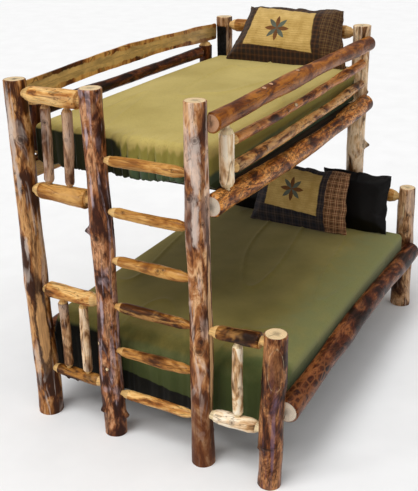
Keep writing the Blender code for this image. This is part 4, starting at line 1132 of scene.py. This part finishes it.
class Pillow:
    """A stuffed case shaped by cloth simulation inside the room of its CAD solid."""

    def __init__(self, name, voxel):
        self.name = name
        self.voxel = voxel
        self.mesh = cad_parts[name].data
        points = read_points(self.mesh)
        self.middle = (points.min(axis=0) + points.max(axis=0)) / 2
        rise = np.linalg.eigh(np.cov((points[:, 1:] - self.middle[1:]).T))[1][:, 1]
        rise = rise * math.copysign(1.0, rise[1])
        self.turn = np.array(((1.0, 0.0, 0.0), (0.0, *rise), (0.0, -rise[1], rise[0])))

    def local(self, points):
        """Across, up the pillow and out of its face."""
        return (points - self.middle) @ self.turn.T

    def world(self, flat):
        return flat @ self.turn + self.middle

    def shares(self, flat):
        """Places on the face from -1 to 1 across and up, following its edges."""
        parts = []
        for first, second in ((0, 1), (1, 0)):
            reach = np.abs(flat[:, second]).max()
            steps = np.linspace(-reach, reach, OUTLINE_STEPS)
            band = reach * 3.2 / OUTLINE_STEPS
            near = [flat[np.abs(flat[:, second] - step) < band, first] for step in steps]
            lower = np.interp(flat[:, second], steps, [part.min() for part in near])
            upper = np.interp(flat[:, second], steps, [part.max() for part in near])
            parts.append(np.clip(2 * (flat[:, first] - lower) / (upper - lower) - 1, -1, 1))
        return np.stack(parts, axis=-1)

    def remeshed(self):
        """An even mesh over the CAD solid."""
        shape = bmesh.new()
        shape.from_mesh(self.mesh)
        bmesh.ops.remove_doubles(shape, verts=shape.verts, dist=PILLOW_WELD)
        mesh = bpy.data.meshes.new(self.name + "_case")
        shape.to_mesh(mesh)
        shape.free()
        obj = linked("case_" + self.name, mesh)
        modifier = obj.modifiers.new("remesh", "REMESH")
        modifier.mode = "VOXEL"
        modifier.voxel_size = self.voxel
        graph = bpy.context.evaluated_depsgraph_get()
        obj.data = bpy.data.meshes.new_from_object(obj.evaluated_get(graph))
        obj.modifiers.clear()
        return obj

    def build(self, material):
        obj = self.remeshed()
        start = read_points(obj.data)
        flat = self.local(start)
        shares = self.shares(flat)
        add_vectors(obj, "cloth", flat)
        add_vectors(obj, "panel", np.c_[shares, np.sign(flat[:, 2])])
        flat[:, 2] *= PILLOW_FLATTEN
        write_points(obj.data, self.world(flat))
        inflate(obj, start)
        self.refit(obj, self.local(start))
        self.pucker(obj, shares)
        self.keep_in_room(obj)
        self.sag(obj, shares)
        subdivision = obj.modifiers.new("smooth", "SUBSURF")
        subdivision.levels = 1
        subdivision.render_levels = 1
        obj.data.shade_smooth()
        obj.data.materials.clear()
        obj.data.materials.append(material)
        return obj

    def refit(self, obj, before):
        """Brings the case back towards its outline and to its thickness, which the swelling changes."""
        flat = self.local(read_points(obj.data))
        flat[:, :2] += (before[:, :2] - flat[:, :2]) * PILLOW_HOLD
        flat[:, 2] *= np.abs(before[:, 2]).max() / np.abs(flat[:, 2]).max()
        write_points(obj.data, self.world(flat))

    def pucker(self, obj, shares):
        """Wavy edges and tucked corners, except along the foot of the case, and folds at the seam."""
        flat = self.local(read_points(obj.data))
        edge = 1 - np.abs(shares).max(axis=1)
        sideways = np.abs(shares[:, 0]) > np.abs(shares[:, 1])
        along = np.where(sideways, flat[:, 1], flat[:, 0])
        row = np.where(sideways, 2.0, 5.0) + np.sign(shares).sum(axis=1)
        wave = np.clip(0.5 + ripple(along * EDGE_WAVE_SCALE, row, 6.4), 0.0, 1.0)
        lifted = np.clip(1.0 + shares[:, 1], 0.0, 1.0)
        inwards = EDGE_WAVE * wave * np.exp(-edge / EDGE_WAVE_REACH) * lifted
        corner = CORNER_TUCK * np.abs(shares).prod(axis=1) ** 9 * lifted
        drawn = np.c_[inwards * sideways, inwards * ~sideways] + corner[:, None]
        flat[:, :2] -= np.sign(shares) * drawn
        folds = ripple(along * PUCKER_SCALE, edge * 3.0 + np.sign(flat[:, 2]) * 7.0, 3.3)
        depth = PUCKER * np.exp(-((edge - 0.12) / 0.13) ** 2)
        puff = PUFF * ripple(flat[:, 0] * 7.0, flat[:, 1] * 9.0 + flat[:, 2] * 5.0, 8.1)
        normals = np.empty(len(flat) * 3)
        obj.data.vertices.foreach_get("normal", normals)
        rise = (depth * folds + puff * edge)[:, None]
        write_points(obj.data, self.world(flat) + normals.reshape(-1, 3) * rise)

    def keep_in_room(self, obj):
        """Brings back what stands proud of the CAD solid."""
        shape = bmesh.new()
        shape.from_mesh(self.mesh)
        tree = BVHTree.FromBMesh(shape)
        points = read_points(obj.data)
        for index, point in enumerate(points):
            nearest, normal, _, _ = tree.find_nearest(Vector(point))
            if (Vector(point) - nearest).dot(normal) > PILLOW_PROUD:
                points[index] = nearest + normal * PILLOW_PROUD
        shape.free()
        write_points(obj.data, points)

    def sag(self, obj, shares):
        """Lets the lower edge sink onto the bed between its corners."""
        points = read_points(obj.data)
        points[:, 2] -= EDGE_SAG * np.clip(-shares[:, 1], 0.0, 1.0) ** 6 * (1.0 - shares[:, 0] ** 2)
        write_points(obj.data, points)


def inflate(obj, start):
    """Fills the case with air by cloth simulation and keeps the result within reach of its start."""
    scene = bpy.context.scene
    cloth = obj.modifiers.new("cloth", "CLOTH")
    for setting, value in PILLOW_CLOTH.items():
        setattr(cloth.settings, setting, value)
    cloth.settings.effector_weights.gravity = 0.0
    cloth.collision_settings.use_collision = False
    for step in range(1, PILLOW_FRAMES + 1):
        scene.frame_set(step)
    graph = bpy.context.evaluated_depsgraph_get()
    moved = read_points(obj.evaluated_get(graph).data)
    obj.modifiers.clear()
    scene.frame_set(1)
    shift = moved - start
    length = np.linalg.norm(shift, axis=1, keepdims=True)
    write_points(obj.data, start + shift * np.minimum(1.0, PILLOW_CAP / np.maximum(length, 1e-9)))


def add_cover(node, deck, body, material, plan):
    piece = Cover(node, deck, plan).build("cover_" + node, material)
    dress(piece, node, body)


def add_pillow(node, body, voxel, material):
    piece = Pillow(node, voxel).build(material)
    dress(piece, node, body)


def make_bedding():
    """The covered mattresses and the pillows."""
    # Cloth colours, then the mixes: olive painted shade, teal painted shade lower down, and the darkest
    # painted shade
    upper = cover_material("green_cotton_upper", (186, 167, 97), (168, 149, 80),
                           ((150, 140, 66), (70, 86, 60), (44, 46, 26)))
    # A darker copy of the same cloth as painted shade under the upper bunk; its first mix greens the front
    # edge as partly painted light, the last is black painted shadow
    lower = cover_material("green_cotton_lower_painted_shade", (146, 132, 70), (122, 110, 54),
                           ((116, 117, 72), (74, 84, 44), (18, 16, 11)))
    add_cover("mattress_upper", "deck_upper", "upper_mattress", upper,
              CoverPlan(folds=19, depth=0.0105, seed=1.7, hem_rise=0.024, ruffle=0.016,
                        foot_round=COVER_ROUND, painted_shading_tints=upper_cover_painted_shading))
    add_cover("mattress_lower", "deck_lower", "lower_mattress", lower,
              CoverPlan(folds=13, depth=0.004, seed=4.2, hem_rise=0.0, ruffle=0.004,
                        foot_round=SOFT_ROUND, painted_shading_tints=lower_cover_painted_shading))
    brown = ((40, 22, 10), (62, 38, 18), (82, 52, 26), (50, 32, 16), (40, 28, 20))
    navy = ((24, 22, 28), (40, 40, 50), (62, 50, 44), (30, 26, 30), (78, 64, 56))
    warm = ((60, 34, 16), (112, 82, 48), (60, 52, 28), (84, 50, 24), (44, 28, 14))
    check = ((120, 66, 40), (198, 160, 116), (86, 44, 26), (150, 104, 66), (58, 36, 24))
    brown_sham = sham_material("sham_brown", panel=(-0.74, 0.46, -0.62, 0.8), star_place=(-0.07, 0.008),
                               border=brown, strip=warm)
    navy_sham = sham_material("sham_navy", panel=(-0.7, 0.42, -0.5, 0.86), star_place=(-0.05, 0.04),
                              border=navy, strip=check)
    leather = leather_material("leather_dark")
    add_pillow("pillow_upper_plaid", "upper_pillow", PILLOW_VOXEL, brown_sham)
    add_pillow("pillow_lower_plaid", "lower_pillows", PILLOW_VOXEL, navy_sham)
    add_pillow("pillow_leather_right", "lower_pillows", LEATHER_VOXEL, leather)
    add_pillow("pillow_leather_left", "lower_pillows", LEATHER_VOXEL, leather)


def add_camera():
    """A camera at the place, turn and focal length of the photograph."""
    yaw, pitch, roll = (math.radians(angle) for angle in (CAMERA_YAW, CAMERA_PITCH, CAMERA_ROLL))
    ahead = Vector((-math.sin(yaw) * math.cos(pitch), math.cos(yaw) * math.cos(pitch), -math.sin(pitch)))
    right = Vector((math.cos(yaw), math.sin(yaw), 0.0))
    up = right.cross(ahead)
    turned_right = right * math.cos(roll) + up * math.sin(roll)
    turned_up = up * math.cos(roll) - right * math.sin(roll)
    data = bpy.data.cameras.new("camera")
    data.sensor_width = SENSOR
    data.lens = FOCAL_PIXELS * SENSOR / IMAGE_HEIGHT
    camera = linked("camera", data)
    camera.matrix_world = Matrix((turned_right, turned_up, -ahead)).transposed().to_4x4()
    camera.location = CAMERA_PLACE
    bpy.context.scene.camera = camera


def make_studio():
    """A pale floor, an even pale surround and three soft lights."""
    world = bpy.data.worlds.new("studio")
    bpy.context.scene.world = world
    world.use_nodes = True
    background = world.node_tree.nodes["Background"]
    background.inputs["Color"].default_value = (1.0, 1.0, 1.0, 1.0)
    background.inputs["Strength"].default_value = SURROUND_STRENGTH
    mesh = bpy.data.meshes.new("floor")
    corners = [(x * FLOOR_REACH, y * FLOOR_REACH, 0) for x, y in ((-1, -1), (1, -1), (1, 1), (-1, 1))]
    mesh.from_pydata(corners, [], [(0, 1, 2, 3)])
    mesh.materials.append(floor_material("pale_floor"))
    floor = linked("floor", mesh)
    for name, (towards, power, spread) in SUNS.items():
        data = bpy.data.lights.new(name, "SUN")
        data.energy = power
        data.angle = math.radians(spread)
        light = linked(name, data)
        light.rotation_euler = Vector(towards).to_track_quat("Z", "Y").to_euler()


bpy.context.scene.view_settings.view_transform = "Standard"
make_logs()
make_hardware()
make_bedding()
add_camera()
make_studio()
